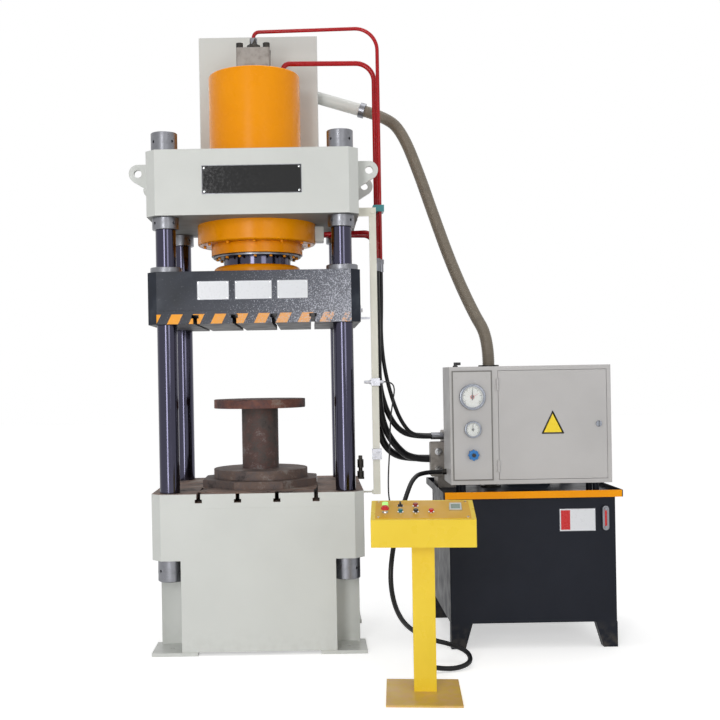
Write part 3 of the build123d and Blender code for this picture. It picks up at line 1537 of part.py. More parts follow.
# Electrical cabinet: sheet-steel box on four feet, open behind the gauge panel and the door
cabinet_low_x = cabinet_x - cabinet_width / 2
cabinet_high_x = cabinet_x + cabinet_width / 2
cabinet_front = unit_front
cabinet_back = cabinet_front + cabinet_depth
cabinet_bottom = tray_floor + cabinet_foot_height
cabinet_top = cabinet_bottom + cabinet_height
door_bottom = cabinet_bottom + door_frame
door_top = cabinet_top - door_frame
door_right = cabinet_high_x - door_frame
door_left = door_right - door_width
panel_right = door_left - panel_post
panel_left = panel_right - panel_width
with BuildPart() as cabinet_case:
    slab((cabinet_low_x, cabinet_front, cabinet_bottom), (cabinet_high_x, cabinet_back, cabinet_top))
    fillet(cabinet_case.edges().filter_by(Axis.Z), cabinet_round)
    slab(
        (cabinet_low_x + sheet, cabinet_front + sheet, cabinet_bottom + sheet),
        (cabinet_high_x - sheet, cabinet_back - sheet, cabinet_top - sheet),
        Mode.SUBTRACT,
    )
    slab(
        (panel_left + panel_seat, cabinet_front - 1, door_bottom + panel_seat),
        (panel_right - panel_seat, cabinet_front + sheet + 1, door_top - panel_seat),
        Mode.SUBTRACT,
    )
    slab(
        (door_left - door_gap, cabinet_front - 1, door_bottom - door_gap),
        (door_right + door_gap, cabinet_front + sheet + 1, door_top + door_gap),
        Mode.SUBTRACT,
    )
    for foot_x in (cabinet_low_x + cabinet_foot_inset, cabinet_high_x - cabinet_foot_inset):
        for foot_y in (cabinet_front + cabinet_foot_inset, cabinet_back - cabinet_foot_inset):
            rod((foot_x, foot_y, tray_floor), (foot_x, foot_y, cabinet_bottom), cabinet_foot_radius)
    conduit_start = conduit_route[0]
    rod((cabinet_low_x, conduit_start[1], conduit_start[2]), conduit_start, conduit_radius + gland_margin)

# Gauge panel: plate over the left opening, with holes for two gauges and the handwheel stem
gauge_x = (panel_left + panel_right) / 2
large_gauge_z = cabinet_top - large_gauge_drop
small_gauge_z = cabinet_top - small_gauge_drop
handwheel_z = cabinet_top - handwheel_drop
panel_face = cabinet_front - panel_thickness
with BuildPart() as panel_plate:
    slab((panel_left, panel_face, door_bottom), (panel_right, cabinet_front, door_top))
    rod((gauge_x, panel_face - 1, large_gauge_z), (gauge_x, cabinet_front + 1, large_gauge_z),
        large_gauge_radius - large_gauge_bezel + still_gap, Mode.SUBTRACT)
    rod((gauge_x, panel_face - 1, small_gauge_z), (gauge_x, cabinet_front + 1, small_gauge_z),
        small_gauge_radius - small_gauge_bezel + still_gap, Mode.SUBTRACT)
    rod((gauge_x, panel_face - 1, handwheel_z), (gauge_x, cabinet_front + 1, handwheel_z),
        handwheel_stem_radius + still_gap, Mode.SUBTRACT)
    with BuildSketch(Plane.XZ.offset(-panel_face)):
        with Locations((gauge_x, (door_bottom + door_top) / 2)):
            with GridLocations(panel_width - 44, door_top - door_bottom - 66, 2, 2):
                Circle(panel_screw_radius)
    extrude(amount=panel_screw_head)


def gauge_case(height, radius, bezel):
    """Round gauge case: bezel ring in front of the panel, dial set back in it, spindle in the middle."""
    with BuildPart() as case:
        front = panel_face - gauge_bezel_depth
        rod((gauge_x, panel_face, height), (gauge_x, front, height), radius)
        rod((gauge_x, panel_face, height), (gauge_x, cabinet_front + gauge_case_depth, height),
            radius - bezel)
        fillet(case.edges().filter_by(GeomType.CIRCLE).group_by(Axis.Y)[0], bezel / 3)
        rod((gauge_x, front - 1, height), (gauge_x, front + gauge_recess, height), radius - bezel,
            Mode.SUBTRACT)
        rod((gauge_x, front + gauge_recess, height), (gauge_x, front + gauge_glass + 1.5, height),
            spindle_radius)
    return case


large_gauge = gauge_case(large_gauge_z, large_gauge_radius, large_gauge_bezel)

small_gauge = gauge_case(small_gauge_z, small_gauge_radius, small_gauge_bezel)

gauge_front = panel_face - gauge_bezel_depth
with BuildPart() as gauge_glasses:
    for height, radius in (
        (large_gauge_z, large_gauge_radius - large_gauge_bezel),
        (small_gauge_z, small_gauge_radius - small_gauge_bezel),
    ):
        rod((gauge_x, gauge_front, height), (gauge_x, gauge_front + gauge_glass, height), radius - still_gap)

# Both gauges
with BuildPart() as gauge_cases:
    add(large_gauge.part)
    add(small_gauge.part)
    add(gauge_glasses.part)
gauge_cases.part.label = "gauge_cases"
export_step(gauge_cases.part, "parts/gauge_cases.step")


def pointer(height, reach, tail, depth, width):
    """Pointer that turns on a gauge's spindle; it points straight up at rest."""
    with BuildPart() as needle:
        with BuildSketch(Plane.XZ.offset(-(gauge_front + depth))):
            with Locations((gauge_x, height)):
                Circle(pointer_hub_radius)
            with BuildLine():
                Polyline(
                    (gauge_x - width / 2, height - tail),
                    (gauge_x + width / 2, height - tail),
                    (gauge_x + width / 6, height + reach),
                    (gauge_x - width / 6, height + reach),
                    close=True,
                )
            make_face()
            with Locations((gauge_x, height)):
                Circle(spindle_radius + running_gap, mode=Mode.SUBTRACT)
        extrude(amount=pointer_thickness)
    return needle


large_pointer = pointer(large_gauge_z, large_gauge_radius * 0.62, large_gauge_radius * 0.25, pointer_depth, 6)
large_pointer.part.label = "large_pointer"
export_step(large_pointer.part, "parts/large_pointer.step")

small_pointer = pointer(small_gauge_z, small_gauge_radius * 0.6, small_gauge_radius * 0.25, pointer_depth, 4)
small_pointer.part.label = "small_pointer"
export_step(small_pointer.part, "parts/small_pointer.step")

# Pressure handwheel with eight lobes on a stem through the panel
with BuildPart() as handwheel_bushing:
    rod((gauge_x, panel_face, handwheel_z), (gauge_x, panel_face - 6, handwheel_z), handwheel_stem_radius + 9)
    rod((gauge_x, panel_face, handwheel_z), (gauge_x, cabinet_front + 34, handwheel_z), handwheel_stem_radius)
    rod((gauge_x, panel_face - 7, handwheel_z), (gauge_x, cabinet_front + 35, handwheel_z),
        handwheel_spindle_radius + running_gap, Mode.SUBTRACT)

# Panel with the bush of the handwheel
with BuildPart() as gauge_panel:
    add(panel_plate.part)
    add(handwheel_bushing.part)
gauge_panel.part.label = "gauge_panel"
export_step(gauge_panel.part, "parts/gauge_panel.step")

with BuildPart() as handwheel:
    wheel_plane = Plane(origin=(gauge_x, panel_face - 6 - door_gap, handwheel_z), x_dir=(1, 0, 0),
                        z_dir=(0, -1, 0))
    with BuildSketch(wheel_plane):
        Circle(handwheel_radius * 0.86)
        with PolarLocations(handwheel_radius * 0.8, 8):
            Circle(handwheel_radius * 0.2)
    extrude(amount=handwheel_depth)
    fillet(handwheel.faces().sort_by(Axis.Y)[0].edges(), 2)
    with BuildSketch(wheel_plane.offset(handwheel_depth)):
        Circle(handwheel_radius * 0.36)
    extrude(amount=5)
    with BuildSketch(wheel_plane):
        Circle(handwheel_spindle_radius)
    extrude(amount=-(6 + door_gap + panel_thickness + 30))
handwheel.part.label = "handwheel"
export_step(handwheel.part, "parts/handwheel.step")

# Cabinet door: folded sheet pan that turns about pins at its left edge
hinge_x = door_left - hinge_offset
hinge_y = cabinet_front - hinge_stand
door_middle = (door_bottom + door_top) / 2
hinge_levels = [door_middle - hinge_spread / 2, door_middle + hinge_spread / 2]
lock_x = door_right - lock_inset
with BuildPart() as door_pan:
    slab((door_left, cabinet_front, door_bottom), (door_right, cabinet_front + door_fold, door_top))
    slab(
        (door_left + sheet, cabinet_front + sheet, door_bottom + sheet),
        (door_right - sheet, cabinet_front + door_fold + 1, door_top - sheet),
        Mode.SUBTRACT,
    )
    rod((lock_x, cabinet_front - 1, door_middle), (lock_x, cabinet_front + sheet + 1, door_middle),
        lock_stem_radius + running_gap, Mode.SUBTRACT)

with BuildPart() as hinge_pins:
    for level in hinge_levels:
        rod((hinge_x, hinge_y, level - hinge_height / 2), (hinge_x, hinge_y, level - still_gap / 2),
            hinge_radius)
        rod((hinge_x, hinge_y, level - hinge_height / 2), (hinge_x, hinge_y, level + hinge_height / 2),
            hinge_pin_radius)
        slab(
            (hinge_x - hinge_leaf, cabinet_front - hinge_leaf_thickness, level - hinge_height / 2),
            (hinge_x, cabinet_front, level - still_gap / 2),
        )

with BuildPart() as hinge_knuckles:
    for level in hinge_levels:
        rod((hinge_x, hinge_y, level + still_gap / 2), (hinge_x, hinge_y, level + hinge_height / 2),
            hinge_radius)
        slab(
            (hinge_x, cabinet_front - hinge_leaf_thickness, level + still_gap / 2),
            (hinge_x + hinge_leaf, cabinet_front, level + hinge_height / 2),
        )
        rod((hinge_x, hinge_y, level - 1), (hinge_x, hinge_y, level + hinge_height / 2 + 1),
            hinge_pin_radius + running_gap, Mode.SUBTRACT)

# Door with its welded hinge knuckles
with BuildPart() as cabinet_door:
    add(door_pan.part)
    add(hinge_knuckles.part)
cabinet_door.part.label = "cabinet_door"
export_step(cabinet_door.part, "parts/cabinet_door.step")

with BuildPart() as door_lock:
    rod((lock_x, cabinet_front, door_middle), (lock_x, cabinet_front - lock_stand, door_middle), lock_radius)
    fillet(door_lock.edges().filter_by(GeomType.CIRCLE).sort_by(Axis.Y)[0], 2)
    rod((lock_x, cabinet_front, door_middle), (lock_x, cabinet_front + lock_cam_depth + 3, door_middle),
        lock_stem_radius)
    slab(
        (lock_x - 7, cabinet_front + lock_cam_depth, door_middle - 8),
        (lock_x + 7, cabinet_front + lock_cam_depth + 3, door_middle + lock_cam_reach),
    )
    slab(
        (lock_x - 1.5, cabinet_front - lock_stand - 1, door_middle - lock_radius * 0.6),
        (lock_x + 1.5, cabinet_front - lock_stand + 3, door_middle + lock_radius * 0.6),
        Mode.SUBTRACT,
    )
door_lock.part.label = "door_lock"
export_step(door_lock.part, "parts/door_lock.step")

# Mounting plate inside the cabinet with a row of contactors, relays and a terminal strip
with BuildPart() as mounting_plate:
    slab(
        (door_left, cabinet_back - sheet - 30, door_bottom),
        (door_right, cabinet_back - sheet - 27, door_top),
    )
    for post_x in (door_left + 30, door_right - 30):
        for post_z in (door_bottom + 30, door_top - 30):
            rod((post_x, cabinet_back - sheet - 28, post_z), (post_x, cabinet_back - sheet, post_z), 8)

plate_front = cabinet_back - sheet - 30
with BuildPart() as contactors:
    for index in range(contactor_count):
        contactor_x = door_left + 70 + index * contactor_pitch
        slab((contactor_x, plate_front - 85, door_top - 170), (contactor_x + 56, plate_front, door_top - 80))
        slab((contactor_x + 8, plate_front - 98, door_top - 145),
             (contactor_x + 48, plate_front - 85, door_top - 105))
    slab((door_left + 60, plate_front - 45, door_bottom + 60),
         (door_right - 60, plate_front, door_bottom + 105))

# Small connector on the cabinet's roof for the sensor cable
connector_x = cabinet_low_x + connector_inset
connector_y = cabinet_front + connector_inset
with BuildPart() as roof_connector:
    rod((connector_x, connector_y, cabinet_top), (connector_x, connector_y, cabinet_top + 8), 14)
    rod((connector_x, connector_y, cabinet_top), (connector_x, connector_y, cabinet_top + 26), 9)
    rod((connector_x, connector_y, cabinet_top + 18),
        (connector_x + connector_reach, connector_y, cabinet_top + 18), 8)

# Cabinet with its hinge pins and roof connector
with BuildPart() as cabinet_shell:
    add(cabinet_case.part)
    add(hinge_pins.part)
    add(roof_connector.part)
cabinet_shell.part.label = "cabinet_shell"
export_step(cabinet_shell.part, "parts/cabinet_shell.step")

# Electrical gear
with BuildPart() as cabinet_electrics:
    add(mounting_plate.part)
    add(contactors.part)
cabinet_electrics.part.label = "cabinet_electrics"
export_step(cabinet_electrics.part, "parts/cabinet_electrics.step")

# Pedestal: base plate and square post, welded, with a cable gland low at the back
post_front = console_front + post_setback
base_front = post_front - base_front_margin
pedestal_axis = Axis((pedestal_x - base_offset, base_front, 0), (0, 0, 1))


def turned(builder):
    """Copy of a piece of the pedestal, turned to where the operator set it."""
    return builder.part.rotate(pedestal_axis, pedestal_turn)


with BuildPart() as stand_weldment:
    slab(
        (pedestal_x - base_width / 2 - base_offset, base_front, 0),
        (pedestal_x + base_width / 2 - base_offset, base_front + base_depth, base_thickness),
    )
    slab(
        (pedestal_x - post_width / 2, post_front, base_thickness),
        (pedestal_x + post_width / 2, post_front + post_width, console_bottom),
    )
    slab(
        (pedestal_x - post_width / 2 + post_wall, post_front + post_wall, base_thickness),
        (pedestal_x + post_width / 2 - post_wall, post_front + post_width - post_wall, console_bottom + 1),
        Mode.SUBTRACT,
    )
    fillet(
        stand_weldment.edges().filter_by(Axis.Z).sort_by(Axis.Z)[-4:],
        post_wall,
    )
    rod(
        (pedestal_x, post_front + post_width - post_wall, post_gland_height),
        (pedestal_x, post_front + post_width + gland_length, post_gland_height),
        conduit_radius + gland_margin,
    )
with BuildPart() as pedestal_stand:
    add(turned(stand_weldment))
pedestal_stand.part.label = "pedestal_stand"
export_step(pedestal_stand.part, "parts/pedestal_stand.step")

# Console box: folded sheet, its top slopes up to the back and is closed by the panel
console_back = console_front + console_depth
console_slope = Vector(0, console_depth, console_back_top - console_front_top)
panel_up = console_slope.normalized()
panel_normal = Vector(0, -panel_up.Z, panel_up.Y)
slope_middle = Vector(pedestal_x, (console_front + console_back) / 2,
                      (console_front_top + console_back_top) / 2)
console_plane = Plane(origin=slope_middle, x_dir=(1, 0, 0), z_dir=panel_normal)
with BuildPart() as console_case:
    with BuildSketch(Plane.YZ.offset(pedestal_x - console_width / 2)):
        with BuildLine():
            Polyline(
                (console_front, console_bottom),
                (console_back, console_bottom),
                (console_back, console_back_top),
                (console_front, console_front_top),
                close=True,
            )
        make_face()
    extrude(amount=console_width)
    fillet(console_case.edges().filter_by(Axis.Z), 2 * console_sheet)
    with BuildSketch(Plane.YZ.offset(pedestal_x - console_width / 2 + console_sheet)):
        with BuildLine():
            Polyline(
                (console_front + console_sheet, console_bottom + console_sheet),
                (console_back - console_sheet, console_bottom + console_sheet),
                (console_back - console_sheet, console_back_top - 2 * console_sheet),
                (console_front + console_sheet, console_front_top - 2 * console_sheet),
                close=True,
            )
        make_face()
    extrude(amount=console_width - 2 * console_sheet, mode=Mode.SUBTRACT)
    with BuildSketch(console_plane):
        Rectangle(console_panel_width - 2 * panel_seat, console_panel_depth - 2 * panel_seat)
    extrude(amount=-4 * console_sheet, mode=Mode.SUBTRACT)
    slab(
        (pedestal_x - post_width / 2 + 2 * post_wall, post_front + 2 * post_wall, console_bottom - 1),
        (pedestal_x + post_width / 2 - 2 * post_wall, post_front + post_width - 2 * post_wall,
         console_bottom + console_sheet + 1),
        Mode.SUBTRACT,
    )
    rod(
        (sensor_gland_x, console_back - console_sheet, sensor_gland_z),
        (sensor_gland_x, console_back + sensor_gland_length, sensor_gland_z),
        sensor_cable_radius + gland_margin,
    )
with BuildPart() as console_box:
    add(turned(console_case))
console_box.part.label = "console_box"
export_step(console_box.part, "parts/console_box.step")

# Console panel with its screws, the bezels of the controls, a signal lamp and the counter's frame
control_places = {
    "estop_button": (estop_u, -control_row),
    "selector_knob": (estop_u + control_pitch, control_row),
    "blue_button": (estop_u + control_pitch, -control_row),
    "dark_red_button": (estop_u + 2 * control_pitch, control_row),
    "black_button": (estop_u + 2 * control_pitch, -control_row),
    "red_button": (estop_u + 3 * control_pitch, -control_row),
}
with BuildPart() as control_plate:
    with BuildSketch(console_plane):
        Rectangle(console_panel_width, console_panel_depth)
    extrude(amount=console_panel_thickness)
    with BuildSketch(console_plane.offset(console_panel_thickness)):
        with GridLocations(console_panel_width - 30, console_panel_depth - 30, 2, 2):
            Circle(panel_screw_radius)
    extrude(amount=panel_screw_head)
    with BuildSketch(console_plane.offset(console_panel_thickness)):
        with Locations(*control_places.values()):
            Circle(bezel_radius)
    extrude(amount=bezel_height)
    with BuildSketch(console_plane):
        with Locations(*control_places.values()):
            Circle(barrel_tube_radius)
    extrude(amount=-barrel_tube_length)
    with BuildSketch(console_plane.offset(console_panel_thickness)):
        with Locations((estop_u, control_row)):
            Circle(bezel_radius)
    extrude(amount=lamp_height)
    with BuildSketch(console_plane.offset(console_panel_thickness)):
        with Locations((counter_u, 0)):
            Rectangle(counter_width, counter_tall)
            Rectangle(counter_width - 16, counter_tall - 22, mode=Mode.SUBTRACT)
    extrude(amount=counter_height)
    with BuildSketch(console_plane.offset(console_panel_thickness + bezel_height)):
        with Locations(*control_places.values()):
            Circle(stem_radius + running_gap)
    extrude(amount=-(bezel_height + console_panel_thickness + barrel_tube_length), mode=Mode.SUBTRACT)
with BuildPart() as console_panel:
    add(turned(control_plate))
console_panel.part.label = "console_panel"
export_step(console_panel.part, "parts/console_panel.step")


def control_plane(name):
    """Plane on top of a control's bezel, at its centre."""
    across, up = control_places[name]
    origin = slope_middle + Vector(across, 0, 0) + panel_up * up
    seat = origin + panel_normal * (console_panel_thickness + bezel_height)
    return Plane(origin=seat, x_dir=(1, 0, 0), z_dir=panel_normal)


def push_button(name):
    """Flat push button: cap above the bezel, stem that slides in the barrel below it."""
    plane = control_plane(name)
    with BuildPart() as button:
        with BuildSketch(plane.offset(button_travel + 0.5)):
            Circle(button_radius)
        extrude(amount=button_cap)
        fillet(button.edges().filter_by(GeomType.CIRCLE).sort_by(Axis.Z)[-1], 1.2)
        with BuildSketch(plane.offset(button_travel + 0.5)):
            Circle(stem_radius)
        extrude(amount=-(button_travel + bezel_height + console_panel_thickness + stem_reach))
    with BuildPart() as set_button:
        add(turned(button))
    return set_button


blue_button = push_button("blue_button")
blue_button.part.label = "blue_button"
export_step(blue_button.part, "parts/blue_button.step")

dark_red_button = push_button("dark_red_button")
dark_red_button.part.label = "dark_red_button"
export_step(dark_red_button.part, "parts/dark_red_button.step")

black_button = push_button("black_button")
black_button.part.label = "black_button"
export_step(black_button.part, "parts/black_button.step")

red_button = push_button("red_button")
red_button.part.label = "red_button"
export_step(red_button.part, "parts/red_button.step")

# Emergency stop: mushroom head on a neck
stem_length_below = bezel_height + console_panel_thickness + stem_reach
with BuildPart() as estop_head:
    estop_plane = control_plane("estop_button")
    with BuildSketch(Plane(origin=estop_plane.origin, x_dir=(1, 0, 0), z_dir=estop_plane.y_dir * -1)):
        with BuildLine():
            Line((0, -stem_length_below), (stem_radius, -stem_length_below))
            Line((stem_radius, -stem_length_below), (stem_radius, estop_neck))
            Line((stem_radius, estop_neck), (estop_radius - 4, estop_neck))
            Spline(
                (estop_radius - 4, estop_neck),
                (estop_radius, estop_neck + 6),
                (estop_radius * 0.7, estop_neck + 15),
                (0, estop_neck + 19),
                tangents=[(1, 0.4), (-1, 0)],
            )
            Line((0, estop_neck + 19), (0, -stem_length_below))
        make_face()
    revolve(axis=Axis(estop_plane.origin, estop_plane.z_dir))
with BuildPart() as estop_button:
    add(turned(estop_head))
estop_button.part.label = "estop_button"
export_step(estop_button.part, "parts/estop_button.step")

# Selector: knob with a raised grip
with BuildPart() as knob:
    selector_plane = control_plane("selector_knob")
    with BuildSketch(selector_plane.offset(0.5)):
        Circle(button_radius)
    extrude(amount=7)
    with BuildSketch(selector_plane.offset(7.5)):
        SlotOverall(2 * button_radius - 2, 9, rotation=90)
    extrude(amount=13)
    with BuildSketch(selector_plane.offset(0.5)):
        Circle(stem_radius)
    extrude(amount=-(bezel_height + console_panel_thickness + stem_reach))
with BuildPart() as selector_knob:
    add(turned(knob))
selector_knob.part.label = "selector_knob"
export_step(selector_knob.part, "parts/selector_knob.step")


def cord_tube(name, route, radius):
    """Round tube along a cord's route: straight runs joined by arcs as large as the runs allow."""
    points = [Vector(*point) for point in route]
    bends = []
    for before, corner, after in zip(points, points[1:], points[2:]):
        turn = radians((corner - before).get_angle(after - corner))
        shorter = min((corner - before).length, (after - corner).length)
        bends.append(0.45 * shorter / tan(turn / 2))
    tube = bent_tube(points, radius, bends)
    with BuildLine() as path:
        FilletPolyline(*points, radius=bends)
    length = sum(edge.length for edge in path.edges())
    expected = pi * radius ** 2 * length
    print(name, "length", round(length), "bends", [round(bend) for bend in bends],
          "volume ratio", round(tube.part.volume / expected, 4))
    return tube


return_hose = cord_tube("return_hose", return_hose_route, return_hose_radius)
return_hose.part.label = "return_hose"
export_step(return_hose.part, "parts/return_hose.step")

hose_a = cord_tube("hose_a", hose_a_route, pressure_hose_radius)
hose_a.part.label = "hose_a"
export_step(hose_a.part, "parts/hose_a.step")

hose_b = cord_tube("hose_b", hose_b_route, main_hose_radius)
hose_b.part.label = "hose_b"
export_step(hose_b.part, "parts/hose_b.step")

hose_c = cord_tube("hose_c", hose_c_route, return_line_radius)
hose_c.part.label = "hose_c"
export_step(hose_c.part, "parts/hose_c.step")

hose_d = cord_tube("hose_d", hose_d_route, return_line_radius)
hose_d.part.label = "hose_d"
export_step(hose_d.part, "parts/hose_d.step")

control_conduit = cord_tube("control_conduit", conduit_route, conduit_radius)
control_conduit.part.label = "control_conduit"
export_step(control_conduit.part, "parts/control_conduit.step")

sensor_cable = cord_tube("sensor_cable", sensor_cable_route, sensor_cable_radius)
sensor_cable.part.label = "sensor_cable"
export_step(sensor_cable.part, "parts/sensor_cable.step")
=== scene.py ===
"""Looks of the four-column hydraulic press: finishes, plates, screws, marks and hoses."""

import logging
import math
from collections.abc import Callable, Iterable
from dataclasses import dataclass
from enum import Enum

import bmesh
import bpy
from bpy.types import Material, Node, NodeSocket, NodeTree, Object
from mathutils import Euler, Matrix, Vector


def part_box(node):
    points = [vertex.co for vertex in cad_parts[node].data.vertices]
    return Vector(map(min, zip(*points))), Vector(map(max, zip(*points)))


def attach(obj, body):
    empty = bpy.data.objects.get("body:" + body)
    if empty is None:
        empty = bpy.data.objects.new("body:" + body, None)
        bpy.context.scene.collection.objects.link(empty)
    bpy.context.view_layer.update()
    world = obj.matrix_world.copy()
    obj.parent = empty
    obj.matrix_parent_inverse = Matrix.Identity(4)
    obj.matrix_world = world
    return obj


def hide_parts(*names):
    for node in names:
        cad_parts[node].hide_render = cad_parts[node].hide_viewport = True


log = logging.getLogger("press")
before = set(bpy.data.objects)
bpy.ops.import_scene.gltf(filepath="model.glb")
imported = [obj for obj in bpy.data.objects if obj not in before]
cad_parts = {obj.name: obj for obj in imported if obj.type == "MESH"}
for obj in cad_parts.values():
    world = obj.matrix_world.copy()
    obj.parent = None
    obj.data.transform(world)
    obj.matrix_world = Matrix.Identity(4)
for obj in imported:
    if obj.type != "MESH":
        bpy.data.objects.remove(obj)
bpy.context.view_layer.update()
MM = 0.001
FRAME_BODY = "frame"
SLIDE_BODY = "slide"
DOOR_BODY = "cabinet_door"
# Within this distance a face counts as lying in a plane
SKIN = 0.0005
# Cosines of a face that looks along an axis, and of one that looks across it
SQUARE, ACROSS = 0.9, 0.5
# Turns the axis of a disc from Z to the operator
FACING = (math.pi / 2, 0, 0)


def linear(colour: str) -> tuple[float, float, float, float]:
    """Turn an sRGB hex colour into the linear RGBA that Blender's sockets take.

    Args:
        colour: the colour as "#RRGGBB".

    Returns:
        The linear colour with an alpha of 1.
    """
    channels = [int(colour[start : start + 2], 16) / 255 for start in (1, 3, 5)]
    values = [c / 12.92 if c <= 0.04045 else ((c + 0.055) / 1.055) ** 2.4 for c in channels]
    return (values[0], values[1], values[2], 1.0)


def per_size(size_mm: float) -> float:
    """Scale of a noise or Voronoi texture whose grains are size_mm across."""
    return 1000 / size_mm


def per_band(pitch_mm: float) -> float:
    """Scale of a wave texture whose bands repeat every pitch_mm."""
    return 100 * math.pi / pitch_mm


def add_node(
    tree: NodeTree,
    kind: str,
    inputs: dict | None = None,
    stops: Iterable[tuple[float, str]] = (),
    **settings: object,
) -> Node:
    """Add a shader node with its settings, values and links.

    Args:
        tree: the material's node tree.
        kind: the node's type without the ShaderNode in front.
        inputs: a value, an output socket or a node, which stands for its first output, for each
            input, by name or number.
        stops: the places and hex colours of a colour ramp.
        settings: the node's own properties.

    Returns:
        The new node.
    """
    node = tree.nodes.new("ShaderNode" + kind)
    for key, value in settings.items():
        setattr(node, key, value)
    for key, value in (inputs or {}).items():
        if isinstance(value, Node):
            value = value.outputs[0]
        if isinstance(value, NodeSocket):
            tree.links.new(value, node.inputs[key])
        else:
            node.inputs[key].default_value = linear(value) if isinstance(value, str) else value
    if stops:
        ramp = node.color_ramp
        for index, (place, colour) in enumerate(stops):
            stop = ramp.elements[index] if index < len(ramp.elements) else ramp.elements.new(place)
            stop.position, stop.color = place, linear(colour)
    return node


@dataclass(frozen=True)
class Finish:
    """A surface finish; make() builds its material once and every piece shares it."""

    name: str
    colour: str

    def make(self) -> Material:
        """Build the material, or return the one already built."""
        known = bpy.data.materials.get(self.name)
        if known and known.get("finish"):
            return known
        material = bpy.data.materials.new(self.name)
        material["finish"] = True
        material.use_nodes = True
        tree = material.node_tree
        shader = tree.nodes["Principled BSDF"]
        shader.inputs["Base Color"].default_value = linear(self.colour)
        self.dress(tree, shader, add_node(tree, "TexCoord").outputs["Object"])
        return material

    def dress(self, tree: NodeTree, shader: Node, place: NodeSocket) -> None:
        """Set the shader's constants and link its patterns.

        Args:
            tree: the material's node tree.
            shader: its Principled BSDF.
            place: the Object coordinates, in metres in the part's frame.
        """
        raise NotImplementedError


def worn_edges(
    tree: NodeTree, place: NodeSocket, radius: float, break_mm: float = 22
) -> tuple[NodeSocket, NodeSocket]:
    """Rounded normals for a part's edges, and a broken mask along them.

    Args:
        tree: the material's node tree.
        place: the Object coordinates.
        radius: the edge radius in metres.
        break_mm: the length of the rubbed stretches.

    Returns:
        The rounded normal and a mask that is 1 where the edge is rubbed.
    """
    bevel = add_node(tree, "Bevel", {"Radius": radius}, samples=6)
    flat = add_node(tree, "NewGeometry")
    dot = add_node(tree, "VectorMath", {0: bevel, 1: flat.outputs["Normal"]}, operation="DOT_PRODUCT")
    breaks = add_node(
        tree, "TexNoise",
        {"Vector": place, "Scale": per_size(break_mm), "Detail": 5.0, "Roughness": 0.7},
    )
    edge = add_node(
        tree, "MapRange", {"Value": dot.outputs["Value"], "From Min": 0.97, "From Max": 0.72}
    )
    patchy = add_node(tree, "MapRange", {"Value": breaks, "From Min": 0.52, "From Max": 0.66})
    mask = add_node(tree, "Math", {0: edge, 1: patchy}, operation="MULTIPLY")
    return bevel.outputs[0], mask.outputs[0]


@dataclass(frozen=True)
class SprayedEnamel(Finish):
    """Gloss enamel sprayed over filler on steel plate: orange peel, faint cloudiness and rubbed edges.

    The peel breaks up reflections, the clouds keep large plates from looking even, and the edges show
    where slings and tools have rubbed the paint thin.
    """

    cloud: str
    rubbed: str
    roughness: float = 0.34
    peel_mm: float = 7.0
    wear: float = 0.55
    floor_dirt: float = 0.0
    dirt_colour: str = "#6E675B"
    dirt_height: float = 0.16
    edge: float = 0.002
    shine: float = 0.5
    cloud_mm: float = 380
    spot_mm: float = 45
    smear_mm: float = 90

    def dress(self, tree: NodeTree, shader: Node, place: NodeSocket) -> None:
        """Link clouds, wear, peel and dirt near the floor."""
        clouds = add_node(
            tree, "TexNoise", {"Vector": place, "Scale": per_size(self.cloud_mm), "Detail": 4.0}
        )
        amount = add_node(tree, "MapRange", {"Value": clouds, "From Min": 0.38, "From Max": 0.68})
        paint = add_node(tree, "Mix", {0: amount, 6: self.colour, 7: self.cloud}, data_type="RGBA")
        normal, edge = worn_edges(tree, place, self.edge)
        faded = add_node(tree, "Math", {0: edge, 1: self.wear}, operation="MULTIPLY")
        worn = add_node(tree, "Mix", {0: faded, 6: paint.outputs[2], 7: self.rubbed}, data_type="RGBA")
        shade = worn.outputs[2]
        if self.floor_dirt:
            height = add_node(tree, "SeparateXYZ", {0: place})
            near = add_node(
                tree, "MapRange",
                {"Value": height.outputs[2], "From Min": self.dirt_height, "From Max": 0.0},
            )
            spots = add_node(
                tree, "TexNoise", {"Vector": place, "Scale": per_size(self.spot_mm), "Detail": 7.0}
            )
            broken = add_node(
                tree, "MapRange", {"Value": spots, "From Min": 0.44, "From Max": 0.62,
                                   "To Max": self.floor_dirt}
            )
            dirt = add_node(tree, "Math", {0: near, 1: broken}, operation="MULTIPLY")
            shade = add_node(
                tree, "Mix", {0: dirt, 6: shade, 7: self.dirt_colour}, data_type="RGBA"
            ).outputs[2]
        tree.links.new(shade, shader.inputs["Base Color"])
        peel = add_node(
            tree, "TexNoise", {"Vector": place, "Scale": per_size(self.peel_mm), "Detail": 2.0}
        )
        bump = add_node(
            tree, "Bump", {"Strength": 0.12, "Distance": 0.6 * MM, "Height": peel, "Normal": normal}
        )
        tree.links.new(bump.outputs[0], shader.inputs["Normal"])
        smears = add_node(
            tree, "TexNoise", {"Vector": place, "Scale": per_size(self.smear_mm), "Detail": 5.0}
        )
        gloss = add_node(
            tree, "MapRange", {"Value": smears, "From Min": 0.35, "From Max": 0.7,
                               "To Min": self.roughness - 0.05, "To Max": self.roughness + 0.1}
        )
        tree.links.new(gloss.outputs[0], shader.inputs["Roughness"])
        shader.inputs["IOR"].default_value = 1.5
        shader.inputs["Specular IOR Level"].default_value = self.shine


